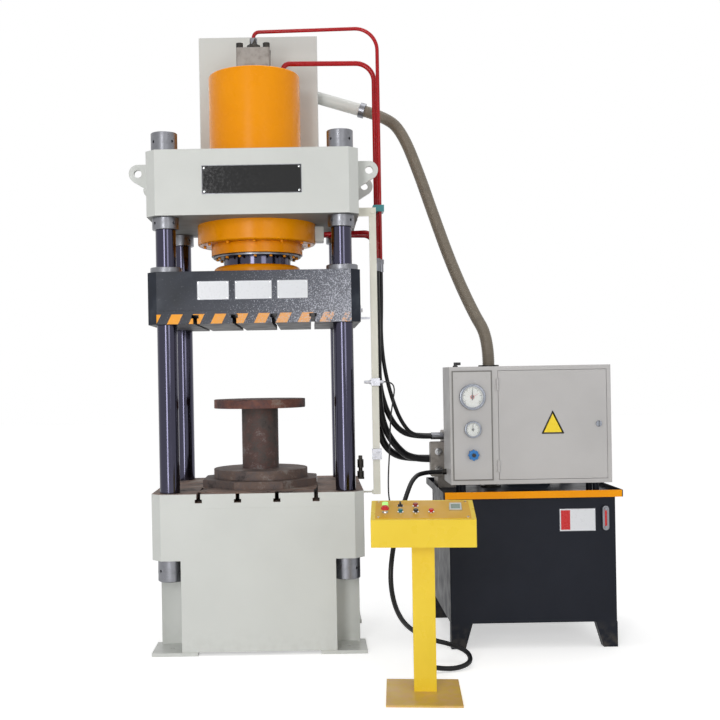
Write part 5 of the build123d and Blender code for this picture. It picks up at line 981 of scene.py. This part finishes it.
@dataclass
class Hoses:
    """Every free hose and cable, along the same routes as their CAD tubes."""

    def build(self) -> None:
        """Make the return hose, the pressure hoses, the conduit and the sensor cable."""
        CorrugatedHose(
            "return_hose",
            [(0.690, 0.447, 3.265), (0.841, 0.4305, 3.2145), (0.932, 0.414, 3.105), (1.018, 0.380, 2.873),
             (1.112, 0.322, 2.560), (1.212, 0.245, 2.232), (1.322, 0.142, 1.935), (1.398, 0.050, 1.775),
             (1.398, 0.050, 1.605)],
            radius=0.037, length=1.928, finish=WIRED_PVC, slot=Slot.HOSE,
        ).build()
        Hose(
            "hose_a",
            [(0.745, -0.040, 2.175), (0.745, -0.040, 1.990), (0.738, -0.034, 1.790), (0.757, -0.015, 1.590),
             (0.806, 0.020, 1.400), (0.862, 0.060, 1.262), (0.940, 0.085, 1.172), (1.050, 0.085, 1.172)],
            radius=0.012, length=1.164,
        ).build()
        Hose(
            "hose_b",
            [(0.727, 0.020, 2.175), (0.727, 0.020, 1.930), (0.724, 0.030, 1.690), (0.728, 0.055, 1.500),
             (0.768, 0.095, 1.345), (0.836, 0.135, 1.225), (0.930, 0.155, 1.172), (1.050, 0.155, 1.172)],
            radius=0.018, length=1.209,
        ).build()
        Hose(
            "hose_c",
            [(0.712, -0.095, 2.175), (0.712, -0.095, 1.890), (0.716, -0.065, 1.610), (0.722, 0.0, 1.385),
             (0.753, 0.060, 1.235), (0.830, 0.125, 1.112), (0.925, 0.160, 1.030), (1.050, 0.160, 1.030)],
            radius=0.022, length=1.371,
        ).build()
        Hose(
            "hose_d",
            [(0.718, 0.080, 2.175), (0.718, 0.080, 1.880), (0.722, 0.095, 1.590), (0.714, 0.115, 1.340),
             (0.735, 0.148, 1.165), (0.808, 0.190, 1.062), (0.925, 0.215, 1.030), (1.050, 0.215, 1.030)],
            radius=0.022, length=1.389,
        ).build()
        Hose(
            "control_conduit",
            [(1.070, -0.230, 0.985), (0.950, -0.230, 0.985), (0.882, -0.360, 0.955), (0.832, -0.540, 0.890),
             (0.772, -0.730, 0.785), (0.726, -0.860, 0.640), (0.706, -0.905, 0.505), (0.722, -0.880, 0.370),
             (0.772, -0.790, 0.248), (0.848, -0.700, 0.165), (0.950, -0.670, 0.112), (1.040, -0.672, 0.092),
             (1.134, -0.724, 0.062), (1.134, -0.824, 0.030), (1.050, -0.884, 0.015), (0.950, -0.892, 0.020),
             (0.868, -0.967, 0.060), (0.8559, -1.1167, 0.060)],
            radius=0.013, length=2.324, stiffness="medium",
        ).build()
        Hose(
            "sensor_cable",
            [(0.735, -0.262, 1.516), (0.775, -0.262, 1.516), (0.797, -0.292, 1.482), (0.781, -0.350, 1.410),
             (0.764, -0.405, 1.338), (0.753, -0.470, 1.268), (0.746, -0.540, 1.202), (0.737, -0.612, 1.142),
             (0.727, -0.690, 1.088), (0.717, -0.770, 1.034), (0.709, -0.855, 0.982), (0.704, -0.940, 0.928),
             (0.711, -1.003, 0.866), (0.7258, -1.0513, 0.800), (0.7214, -1.1058, 0.800)],
            radius=0.004, length=1.173, stiffness="medium",
        ).build()


@dataclass
class Press:
    """Bed, columns, crown, cylinder, slide and tank: their finishes, plates and screws."""

    name_plate: tuple[float, float] = (0.560, 0.160)
    name_plate_centre: float = 2.666
    name_plate_inset: float = 0.014
    name_screw: float = 0.006
    slide_plates: tuple[tuple[float, float], ...] = ((-0.227, 0.179), (-0.001, 0.208), (0.218, 0.174))
    slide_plate_centre: float = 2.046
    slide_plate_height: float = 0.105
    slide_plate_inset: float = 0.009
    slide_rivet: float = 0.0035
    plate_thickness: float = 0.003
    plate_rim: float = 0.003
    plate_edge: float = 0.0006
    t_slots: tuple[float, ...] = (-0.33, -0.11, 0.11, 0.33)
    t_slot_reach: float = 0.021
    bed_slot_floor: float = 0.84
    slide_slot_depth: float = 0.052
    stub_length: float = 0.060
    gland_lip: float = 0.060
    bolts_below: float = 2.75
    plug_top: float = 3.588
    plug_reach: float = 0.045
    stand_disc: float = 0.0525
    stand_base: float = 0.056
    port_block: float = 0.062
    clamp_above: float = 2.53
    unions_below: float = 2.26
    striker: tuple[float, float] = (0.572, 1.99)

    def dress_frame(self) -> None:
        """Coat the CAD nodes of the press frame."""
        coat(PRESS_WHITE, "bed_frame", "bed_table", "crown_frame", "lifting_lugs")
        coat(PRESS_WHITE, "fill_tank", "tank_pipes")
        coat(CHROME_PAINTED_DARK, "columns")
        coat(TURNED, "column_nuts")
        coat(CYLINDER_ORANGE, "cylinder_barrel", "lock_ring", "gland_housing")
        coat(BLACKED, "cylinder_fittings", "rear_union")
        coat(GREY_CASTING, "prefill_valve")
        coat(RUST_TABLE, "scale_sheets")
        coat(RUST_BASE, "octagon_plate")
        coat(RUST_STAND, "tool_stand")
        top, bottom = high("bed_table").z, low("crown_frame").z
        coat_where(
            "bed_table", RUST_TABLE,
            lambda place, normal: place.z > top - SKIN
            or (self.in_t_slot(place, normal) and place.z > self.bed_slot_floor),
        )
        coat_where(
            "crown_frame", BARE_PLATE,
            lambda place, normal: place.z < bottom + 2 * SKIN and normal.z < -SQUARE,
        )
        stub = low("return_hose").x - self.stub_length
        coat_where("tank_pipes", TURNED, lambda place, normal: place.x > stub)
        lip = low("cylinder_barrel").z - self.gland_lip
        coat_where("gland_housing", TURNED, lambda place, normal: place.z < lip)
        coat_where(
            "cylinder_fittings", CYLINDER_ORANGE, lambda place, normal: place.z < self.bolts_below
        )
        coat_where(
            "cylinder_fittings", TURNED,
            lambda place, normal: place.z > self.plug_top and place.xy.length < self.plug_reach,
        )
        disc, base = high("tool_stand").z - self.stand_disc, low("tool_stand").z + self.stand_base
        coat_where("tool_stand", RUST_DISC, lambda place, normal: place.z > disc)
        coat_where("tool_stand", RUST_BASE, lambda place, normal: place.z < base)

    def in_t_slot(self, place: Vector, normal: Vector) -> bool:
        """Whether a face of a table is a wall or floor of a T-slot, which runs from front to back."""
        near = any(abs(place.x - middle) < self.t_slot_reach for middle in self.t_slots)
        return near and abs(normal.y) < ACROSS

    def dress_lines(self) -> None:
        """Coat the pipes, fittings, rail and switches."""
        coat(PIPE_RED, "pipe_upper", "pipe_middle", "lower_pipes")
        coat(BLACKED, "pipe_fittings")
        coat(RAIL_CREAM, "limit_rail")
        coat(ZINC, "limit_switches")
        block = low("lower_pipes").x + self.port_block
        coat_where("lower_pipes", PRESS_WHITE, lambda place, normal: place.x < block)
        coat_where("pipe_fittings", CLAMP_TEAL, lambda place, normal: place.z > self.clamp_above)
        coat_where("pipe_fittings", TURNED, lambda place, normal: place.z < self.unions_below)

    def dress_slide(self) -> None:
        """Coat the slide, its ram and bushes."""
        coat(CHROME_PAINTED_DARK, "ram")
        coat(CYLINDER_ORANGE, "ram_flange")
        coat(SLIDE_NAVY, "slide_body", "slide_table")
        coat(TURNED, "guide_bushes")
        side, top = self.striker
        coat_where("slide_body", ZINC, lambda place, normal: place.x > side and place.z < top)
        bottom = low("slide_table").z
        coat_where(
            "slide_table", DARK_PLATE,
            lambda place, normal: place.z < bottom + SKIN
            or (self.in_t_slot(place, normal) and place.z < bottom + self.slide_slot_depth),
        )

    def screws(
        self, name: str, places: list[tuple[float, float, float]], radius: float, body: str
    ) -> None:
        """Model one slotted button-head screw facing the operator and copy it to every place.

        Args:
            name: the name of the joined screws.
            places: where each head sits on its plate.
            radius: the head's radius.
            body: the CAD body they move with.
        """
        centre = Vector(places[0])
        height = radius * 0.6
        head = new_disc(
            "head", centre - Vector((0, height / 2, 0)), radius, height, edge=height * 0.55, vertices=24
        )
        cut = new_block(
            "cut", centre - Vector((radius * 1.2, height * 1.4, radius * 0.13)),
            centre - Vector((-radius * 1.2, height * 0.6, -radius * 0.13)),
        )
        apply_modifier(head, "BOOLEAN", object=cut, operation="DIFFERENCE", solver="EXACT")
        bpy.data.objects.remove(cut)
        heads = [head] + [copy_to(head, Vector(place) - centre, "head") for place in places[1:]]
        fit(join(heads, name), body, Slot.CHROME, POLISHED)

    def corners(
        self, centre: Vector, size: tuple[float, float], inset: float
    ) -> list[tuple[float, float, float]]:
        """Places of four screws on a plate.

        Args:
            centre: the middle of the plate's back.
            size: its width and height.
            inset: how far the screws lie inside its edges.

        Returns:
            The places on the plate's face.
        """
        across, up = size[0] / 2 - inset, size[1] / 2 - inset
        face = centre.y - self.plate_thickness
        return [(centre.x + x, face, centre.z + z) for x in (-across, across) for z in (-up, up)]

    def plate(
        self, name: str, centre: Vector, size: tuple[float, float], body: str, slot: Slot, finish: Finish
    ) -> None:
        """Make a thin plate that faces the operator, with a bare steel rim.

        Args:
            name: the plate's name.
            centre: the middle of its back.
            size: its width and height.
            body: the CAD body it moves with.
            slot: the record's material slot.
            finish: the material of its face.
        """
        half = Vector((size[0] / 2, 0, size[1] / 2))
        piece = new_block(name, centre - half - Vector((0, self.plate_thickness, 0)), centre + half)
        pick_faces(piece, lambda place, normal: normal.y < -SQUARE)
        bpy.ops.mesh.inset(thickness=self.plate_rim, depth=0)
        leave_edit()
        apply_modifier(piece, "BEVEL", width=self.plate_edge, segments=2, limit_method="ANGLE")
        fit(piece, body, slot, finish, TURNED)
        for polygon in piece.data.polygons:
            away = polygon.center - centre
            inner = abs(away.x) < half.x - self.plate_rim and abs(away.z) < half.z - self.plate_rim
            polygon.material_index = 0 if inner and polygon.normal.y < -ACROSS else 1

    def fit_plates(self) -> None:
        """Screw the bare name plate to the crown and the three blank plates to the slide."""
        centre = Vector((0, low("crown_frame").y, self.name_plate_centre))
        self.plate("name_plate", centre, self.name_plate, FRAME_BODY, Slot.BLACK, GLOSS_BLACK)
        places = self.corners(centre, self.name_plate, self.name_plate_inset)
        self.screws("name_plate_screws", places, self.name_screw, FRAME_BODY)
        for index, (middle, width) in enumerate(self.slide_plates, 1):
            centre = Vector((middle, low("slide_body").y, self.slide_plate_centre))
            size = (width, self.slide_plate_height)
            self.plate(f"slide_plate_{index}", centre, size, SLIDE_BODY, Slot.SLIDE, PRINTED_WHITE)
            places = self.corners(centre, size, self.slide_plate_inset)
            self.screws(f"slide_plate_rivets_{index}", places, self.slide_rivet, SLIDE_BODY)


@dataclass
class PowerUnit:
    """Oil tank, motor, pump, valves and cabinet: their finishes, plates and marks."""

    large_dial: tuple[float, float] = (1.220, 1.423)
    small_dial: tuple[float, float] = (1.220, 1.240)
    large_radius: float = 0.059
    small_radius: float = 0.038
    dial_depth: float = 0.016
    glass: float = 0.003
    set_hand_y: float = -0.4525
    set_hand_turn: float = 62
    set_hand_reach: tuple[float, float] = (0.010, 0.046)
    set_hand_half: float = 0.0012
    set_hand_sheet: float = 0.0006
    set_hand_taper: float = 0.15
    hub_radius: float = 0.0118
    hub_wall: float = 0.0045
    screw_head: float = 0.003
    panel_sheet: float = 0.003
    gasket: float = 0.0035
    gasket_overlap: float = 0.004
    door_front: float = -0.440
    sign_centre: tuple[float, float] = (1.673, 1.2535)
    sign_stretch: tuple[float, float, float] = (0.90, 1.0, 1.06)
    sign_side: float = 0.146
    sign_corner: float = 0.007
    sign_border: float = 0.009
    sign_thickness: float = 0.0012
    tank_plate: tuple[float, float] = (1.803, 0.720)
    tank_plate_size: tuple[float, float] = (0.204, 0.128)
    tank_plate_inset: float = 0.006
    field_width: float = 0.052
    field_inset: tuple[float, float] = (0.008, 0.009)
    field_thickness: float = 0.0004
    tray_lip: float = 0.03
    level_centre: tuple[float, float] = (1.958, 0.73)
    level_half: tuple[float, float] = (0.008, 0.045)
    level_depth: float = 0.004
    plug_length: float = 0.0335
    roof_rise: float = 0.028
    conduit_wall: float = 1.0934
    plinth_drop: float = 0.030
    wheel_centre: tuple[float, float] = (1.220, 1.096)
    wheel_cap: float = 0.0125
    lock_slot: float = 0.003

    def dress(self) -> None:
        """Coat the power unit's CAD nodes."""
        # The rim tray's blue-black, outside its orange front and lip, is painted shade
        coat(TANK_BLACK, "oil_tank", "rim_tray")
        coat(BLACKED, "tank_fittings")
        coat(MOTOR_GREY, "motor_housing")
        coat(TURNED, "motor_rotor")
        coat(GREY_CASTING, "pump", "valve_manifold")
        coat(CABINET_GREY, "cabinet_shell", "gauge_panel", "cabinet_door")
        coat(BLACK_PLASTIC, "large_pointer", "small_pointer", "cabinet_electrics")
        coat(BLUE_PLASTIC, "handwheel")
        coat(BEZEL_PAINTED_DARK, "door_lock", "gauge_cases")
        self.dress_tank()
        self.dress_cabinet()
        self.dress_gauges()

    def dress_tank(self) -> None:
        """Pick out the tray's orange front and lip, leaving its sides and inside in blue-black as painted
        shade, and the level gauge and valve plugs.
        """
        # Painted shade: the tray's sides, back and inside keep the tank's blue-black; only its front face
        # and the front of its rim are orange
        lip, rim = low("rim_tray").y, high("rim_tray").z
        coat_where(
            "rim_tray", TRAY_ORANGE,
            lambda place, normal: place.y < lip + SKIN
            or (place.y < lip + self.tray_lip and place.z > rim - SKIN),
        )
        front = low("oil_tank").y
        coat_where("tank_fittings", TURNED, lambda place, normal: place.y < front + 2 * SKIN)
        coat_where(
            "tank_fittings", RED_PLASTIC,
            lambda place, normal: place.y < front - self.level_depth
            and abs(place.x - self.level_centre[0]) < self.level_half[0]
            and abs(place.z - self.level_centre[1]) < self.level_half[1],
        )
        plugs = low("valve_manifold").y + self.plug_length
        coat_where(
            "valve_manifold", POLISHED, lambda place, normal: place.y < plugs and normal.y < ACROSS
        )

    def dress_cabinet(self) -> None:
        """Pick out the roof connector, conduit gland, the plinth in blue-black as painted shade, panel
        screws, wheel cap and keyhole.
        """
        roof = high("cabinet_door").z + self.roof_rise
        plinth = low("gauge_panel").z - self.plinth_drop
        heads = low("gauge_panel").y + self.screw_head
        lock = (low("door_lock") + high("door_lock")) / 2
        coat_where("cabinet_shell", BLACK_PLASTIC, lambda place, normal: place.z > roof)
        coat_where("cabinet_shell", BLACKED, lambda place, normal: place.x < self.conduit_wall)
        # Painted shade: the plinth takes the tank's blue-black to stand in for the shade under the cabinet
        coat_where("cabinet_shell", TANK_BLACK, lambda place, normal: place.z < plinth)
        coat_where("gauge_panel", BLACKED, lambda place, normal: place.y < heads - 0.4 * SKIN)
        coat_where(
            "handwheel", BLACKED,
            lambda place, normal: (place.xz - Vector(self.wheel_centre)).length < self.wheel_cap,
        )
        coat_where(
            "door_lock", BLACK_PLASTIC,
            lambda place, normal: abs(place.x - lock.x) < self.lock_slot and normal.z**2 < ACROSS,
        )

    def dress_gauges(self) -> None:
        """Give both gauges their printed dials and clear glasses."""
        glass = low("gauge_cases").y
        dial = glass + self.dial_depth
        for middle, radius in (
            (self.large_dial, self.large_radius), (self.small_dial, self.small_radius),
        ):
            printed = PrintedDial(f"enamelled dial {round(radius / MM)} mm", "#F1F2EE", middle, radius)
            coat_where(
                "gauge_cases", printed,
                lambda place, normal, middle=middle, radius=radius: normal.y < -SQUARE
                and dial - 2 * SKIN < place.y < dial + 4 * SKIN
                and (place.xz - Vector(middle)).length < radius + 4 * SKIN,
            )
            coat_where(
                "gauge_cases", GLASS,
                lambda place, normal, middle=middle, radius=radius: (
                    glass - 0.2 * SKIN < place.y < glass + self.glass + 0.6 * SKIN
                    and (place.xz - Vector(middle)).length < radius
                ),
            )

    def fit_set_hand(self) -> None:
        """Put the red set hand on the large dial."""
        axis = Vector((self.large_dial[0], self.set_hand_y, self.large_dial[1]))
        root, tip = self.set_hand_reach
        half = Vector((self.set_hand_half, self.set_hand_sheet / 2, 0))
        hand = new_block(
            "set_hand", axis - half + Vector((0, 0, root)), axis + half + Vector((0, 0, tip))
        )
        pick_faces(hand, lambda place, normal: normal.z > SQUARE)
        bpy.ops.transform.resize(value=(self.set_hand_taper, 1, 1))
        leave_edit()
        turn = Matrix.Rotation(math.radians(self.set_hand_turn), 4, "Y")
        hand.data.transform(Matrix.Translation(axis) @ turn @ Matrix.Translation(-axis))
        hub = new_disc("hub", axis, self.hub_radius, self.set_hand_sheet)
        pick_faces(hub, lambda place, normal: abs(normal.y) > SQUARE)
        bpy.ops.mesh.inset(thickness=self.hub_wall, depth=0)
        bpy.ops.mesh.bridge_edge_loops()
        leave_edit()
        fit(join([hand, hub], "set_hand"), FRAME_BODY, Slot.RED, POINTER_RED)

    def fit_gasket(self) -> None:
        """Lay the rubber gasket whose edge shows round the gauge panel."""
        lowest, highest = low("gauge_panel"), high("gauge_panel")
        back = lowest.y + self.screw_head + self.panel_sheet
        seal = new_block(
            "panel_gasket", (lowest.x - self.gasket, back - MM, lowest.z - self.gasket),
            (highest.x + self.gasket, back, highest.z + self.gasket),
        )
        pick_faces(seal, lambda place, normal: abs(normal.y) > SQUARE)
        bpy.ops.mesh.inset(thickness=self.gasket + self.gasket_overlap, depth=0)
        bpy.ops.mesh.bridge_edge_loops()
        leave_edit()
        apply_modifier(seal, "BEVEL", width=0.0003, segments=2, limit_method="ANGLE")
        fit(seal, FRAME_BODY, Slot.RUBBER, GREY_RUBBER)

    def fit_door_sign(self) -> None:
        """Stick the plain yellow triangle, with its dark edge, on the cabinet door."""
        deselect()
        middle = Vector(
            (self.sign_centre[0], self.door_front - self.sign_thickness / 2, self.sign_centre[1])
        )
        bpy.ops.mesh.primitive_circle_add(
            vertices=3, radius=self.sign_side / math.sqrt(3), fill_type="NGON", location=middle,
            rotation=FACING,
        )
        sign = bpy.context.object
        bpy.ops.object.transform_apply(location=True, rotation=True, scale=True)
        bpy.ops.object.mode_set(mode="EDIT")
        bpy.ops.mesh.select_all(action="SELECT")
        bpy.ops.transform.resize(value=self.sign_stretch)
        bpy.ops.mesh.bevel(offset=self.sign_corner, segments=5, affect="VERTICES")
        bpy.ops.mesh.inset(thickness=self.sign_border, depth=0)
        leave_edit()
        apply_modifier(sign, "SOLIDIFY", thickness=self.sign_thickness, offset=0.0)
        sign.name = sign.data.name = "door_sign"
        fit(sign, DOOR_BODY, Slot.CABINET, SIGN_YELLOW, BLACK_PLASTIC)
        for polygon in sign.data.polygons:
            central = (polygon.center - middle).xz.length < 2 * self.sign_border
            polygon.material_index = 0 if central else 1

    def fit_tank_plate(self, press: Press) -> None:
        """Rivet the blank plate, white with a plain red field at its left, to the tank's front."""
        centre = Vector((self.tank_plate[0], low("oil_tank").y, self.tank_plate[1]))
        press.plate("tank_plate", centre, self.tank_plate_size, FRAME_BODY, Slot.UNIT, PRINTED_WHITE)
        wide, tall = self.tank_plate_size
        face = centre.y - press.plate_thickness
        left = centre.x - wide / 2 + self.field_inset[0]
        half = tall / 2 - self.field_inset[1]
        field = new_block(
            "tank_plate_field", (left, face - self.field_thickness, centre.z - half),
            (left + self.field_width, face, centre.z + half),
        )
        fit(field, FRAME_BODY, Slot.RED, RED_PLASTIC)
        places = press.corners(centre, self.tank_plate_size, self.tank_plate_inset)
        press.screws("tank_plate_rivets", places, 3 * MM, FRAME_BODY)


@dataclass
class Pedestal:
    """Control pedestal: its enamel, its controls' finishes and the counter's window."""

    pivot: tuple[float, float] = (0.817, -1.476)
    turn_degrees: float = -4.6
    middle: tuple[float, float, float] = (0.827, -1.270, 0.898)
    rise: float = 0.060
    run: float = 0.280
    sheet: float = 0.002
    proud: float = 0.0003
    under_sheet: float = -0.004
    stop_collar: float = 0.0155
    lamp_place: tuple[float, float] = (-0.181, 0.042)
    lamp_reach: float = 0.017
    base_top: float = 0.0105
    post_gland: tuple[float, float, float] = (-1.1468, 0.011, 0.085)
    box_gland: tuple[float, float, float, float] = (0.75, -1.1245, 0.78, 0.82)
    counter_place: tuple[float, float] = (0.159, 0.0)
    counter_width: float = 0.058
    counter_foot: float = 0.004
    counter_low: tuple[float, float] = (-0.023, 0.008)
    counter_high: tuple[float, float] = (0.021, 0.027)
    window_border: float = 0.006
    window_groove: float = 0.0015
    window_depth: float = 0.002
    counter_edge: float = 0.0008

    def panel(self) -> Matrix:
        """Place of the sloped panel.

        Returns:
            The matrix that takes across, up the slope and height above the sheet into the part's frame.
        """
        pivot = Matrix.Translation((*self.pivot, 0))
        turn = Matrix.Rotation(math.radians(self.turn_degrees), 4, "Z")
        slope = Matrix.Rotation(math.atan2(self.rise, self.run), 4, "X")
        face = Matrix.Translation((0, 0, self.sheet))
        return pivot @ turn @ pivot.inverted() @ Matrix.Translation(self.middle) @ slope @ face

    def dress(self) -> None:
        """Coat the pedestal's CAD nodes."""
        coat(PEDESTAL_YELLOW, "pedestal_stand", "console_box")
        coat(PANEL_YELLOW, "console_panel")
        coat(RED_PLASTIC, "estop_button", "red_button")
        coat(BLACK_PLASTIC, "selector_knob", "black_button")
        coat(BLUE_GREEN_PLASTIC, "blue_button")
        coat(DARK_RED_PLASTIC, "dark_red_button")
        wall, foot, head = self.post_gland
        coat_where("pedestal_stand", BASE_YELLOW, lambda place, normal: place.z < self.base_top)
        coat_where(
            "pedestal_stand", BLACKED, lambda place, normal: place.y > wall and foot < place.z < head
        )
        side, back, lowest, highest = self.box_gland
        coat_where(
            "console_box", BLACKED,
            lambda place, normal: place.y > back and place.x < side and lowest < place.z < highest,
        )
        flat, lamp = self.panel().inverted(), Vector(self.lamp_place)
        coat_where("console_panel", POLISHED, lambda place, normal: (flat @ place).z > self.proud)
        coat_where(
            "console_panel", LAMP_GREEN,
            lambda place, normal: (flat @ place).z > self.proud
            and ((flat @ place).xy - lamp).length < self.lamp_reach,
        )
        coat_where(
            "console_panel", BLACK_PLASTIC, lambda place, normal: (flat @ place).z < self.under_sheet
        )
        coat_where("estop_button", POLISHED, lambda place, normal: (flat @ place).z < self.stop_collar)

    def fit_counter(self) -> None:
        """Set the counter's sloped housing, with its sunken window, on its frame."""
        across, up = self.counter_place
        half = self.counter_width / 2
        (start, front_top), (end, back_top) = self.counter_low, self.counter_high
        face = new_block(
            "counter_face", (across - half, up + start, self.counter_foot),
            (across + half, up + end, front_top),
        )
        for vertex in face.data.vertices:
            if vertex.co.z > front_top - MM and vertex.co.y > up:
                vertex.co.z = back_top
        pick_faces(face, lambda place, normal: normal.z > ACROSS)
        bpy.ops.mesh.inset(thickness=self.window_border, depth=0)
        bpy.ops.mesh.inset(thickness=self.window_groove, depth=-self.window_depth)
        leave_edit()
        for polygon in face.data.polygons:
            polygon.material_index = int(polygon.select)
        apply_modifier(face, "BEVEL", width=self.counter_edge, segments=2, limit_method="ANGLE")
        face.data.transform(self.panel())
        chosen = [polygon.material_index for polygon in face.data.polygons]
        fit(face, FRAME_BODY, Slot.CHROME, GREY_PLASTIC, DISPLAY_GREEN)
        face.data.polygons.foreach_set("material_index", chosen)


@dataclass
class Studio:
    """Pale floor, soft lights and the camera that stands where the photograph was taken."""

    eye: tuple[float, float, float] = (0.311, -6.44, 1.563)
    focal_pixels: float = 1063
    picture: float = 720
    vanishing_x: float = 310.6
    horizon_y: float = 375
    roll_degrees: float = 1.0
    sensor: float = 36
    surround: float = 0.5
    floor_size: float = 60
    floor_colour: str = "#F8F8F8"
    floor_roughness: float = 0.95
    floor_lift: float = 0.5
    white: str = "#FFFFFF"

    def build(self) -> None:
        """Make floor, world, lamps and camera."""
        self.floor()
        self.world()
        self.lamps()
        self.camera()

    def floor(self) -> None:
        """Lay the floor under the machine."""
        deselect()
        bpy.ops.mesh.primitive_plane_add(size=self.floor_size)
        floor = bpy.context.object
        floor.name = "studio_floor"
        material = bpy.data.materials.new("pale studio floor")
        material.use_nodes = True
        shader = material.node_tree.nodes["Principled BSDF"]
        shader.inputs["Base Color"].default_value = linear(self.floor_colour)
        shader.inputs["Roughness"].default_value = self.floor_roughness
        shader.inputs["Emission Color"].default_value = linear(self.white)
        tree = material.node_tree
        lift = add_node(tree, "Math", {0: self.seen(tree), 1: self.floor_lift}, operation="MULTIPLY")
        tree.links.new(lift.outputs[0], shader.inputs["Emission Strength"])
        floor.data.materials.append(material)

    @staticmethod
    def seen(tree: NodeTree) -> Node:
        """Mask that is 1 where the camera sees the background, directly, mirrored or through glass."""
        rays = add_node(tree, "LightPath").outputs
        seen = add_node(
            tree, "Math", {0: rays["Is Camera Ray"], 1: rays["Is Glossy Ray"]}, operation="MAXIMUM"
        )
        return add_node(tree, "Math", {0: seen, 1: rays["Is Transmission Ray"]}, operation="MAXIMUM")

    def world(self) -> None:
        """Give an even pale surrounding."""
        world = bpy.data.worlds.new("studio")
        bpy.context.scene.world = world
        world.use_nodes = True
        tree = world.node_tree
        back = tree.nodes["Background"]
        back.inputs["Color"].default_value = linear(self.white)
        level = add_node(
            tree, "MapRange", {"Value": self.seen(tree), "To Min": self.surround, "To Max": 1.0}
        )
        tree.links.new(level.outputs[0], back.inputs["Strength"])

    def lamps(self) -> None:
        """Hang a tall key at the left that streaks the chrome, a fill at the right and one overhead."""
        for name, place, aim, wide, high, watts in (
            ("key", (-2.3, -9.5, 2.3), (-0.3, 0.0, 2.0), 1.9, 5.2, 300),
            ("fill", (4.8, -10.5, 3.0), (0.9, 0, 1.3), 3.0, 3.0, 110),
            ("top", (0.6, 0.4, 7.0), (0.6, 0.0, 0.0), 3.5, 3.5, 80),
        ):
            data = bpy.data.lights.new(name, "AREA")
            data.shape = "RECTANGLE"
            data.size = wide
            data.size_y = high
            data.energy = watts
            lamp = bpy.data.objects.new(name, data)
            lamp.location = place
            lamp.rotation_euler = (Vector(aim) - Vector(place)).to_track_quat("-Z", "Y").to_euler()
            bpy.context.collection.objects.link(lamp)

    def camera(self) -> None:
        """Set the camera by the perspective found in the photograph."""
        data = bpy.data.cameras.new("photo_camera")
        data.sensor_width = self.sensor
        data.lens = self.focal_pixels / self.picture * data.sensor_width
        data.shift_x = (self.picture / 2 - self.vanishing_x) / self.picture
        data.shift_y = (self.horizon_y - self.picture / 2) / self.picture
        camera = bpy.data.objects.new("photo_camera", data)
        camera.location = self.eye
        roll = Matrix.Rotation(math.radians(self.roll_degrees), 4, "Y")
        camera.rotation_euler = (roll @ Euler((math.pi / 2, 0, 0)).to_matrix().to_4x4()).to_euler()
        bpy.context.collection.objects.link(camera)
        bpy.context.scene.camera = camera
        bpy.context.scene.view_settings.view_transform = "Standard"


def main() -> None:
    """Build the studio, the hoses and every dressed sub-assembly in order."""
    logging.basicConfig(level=logging.INFO)
    Studio().build()
    Hoses().build()
    press = Press()
    press.dress_frame()
    press.dress_lines()
    press.dress_slide()
    press.fit_plates()
    unit = PowerUnit()
    unit.dress()
    unit.fit_set_hand()
    unit.fit_gasket()
    unit.fit_door_sign()
    unit.fit_tank_plate(press)
    pedestal = Pedestal()
    pedestal.dress()
    pedestal.fit_counter()


if __name__ == "__main__":
    main()
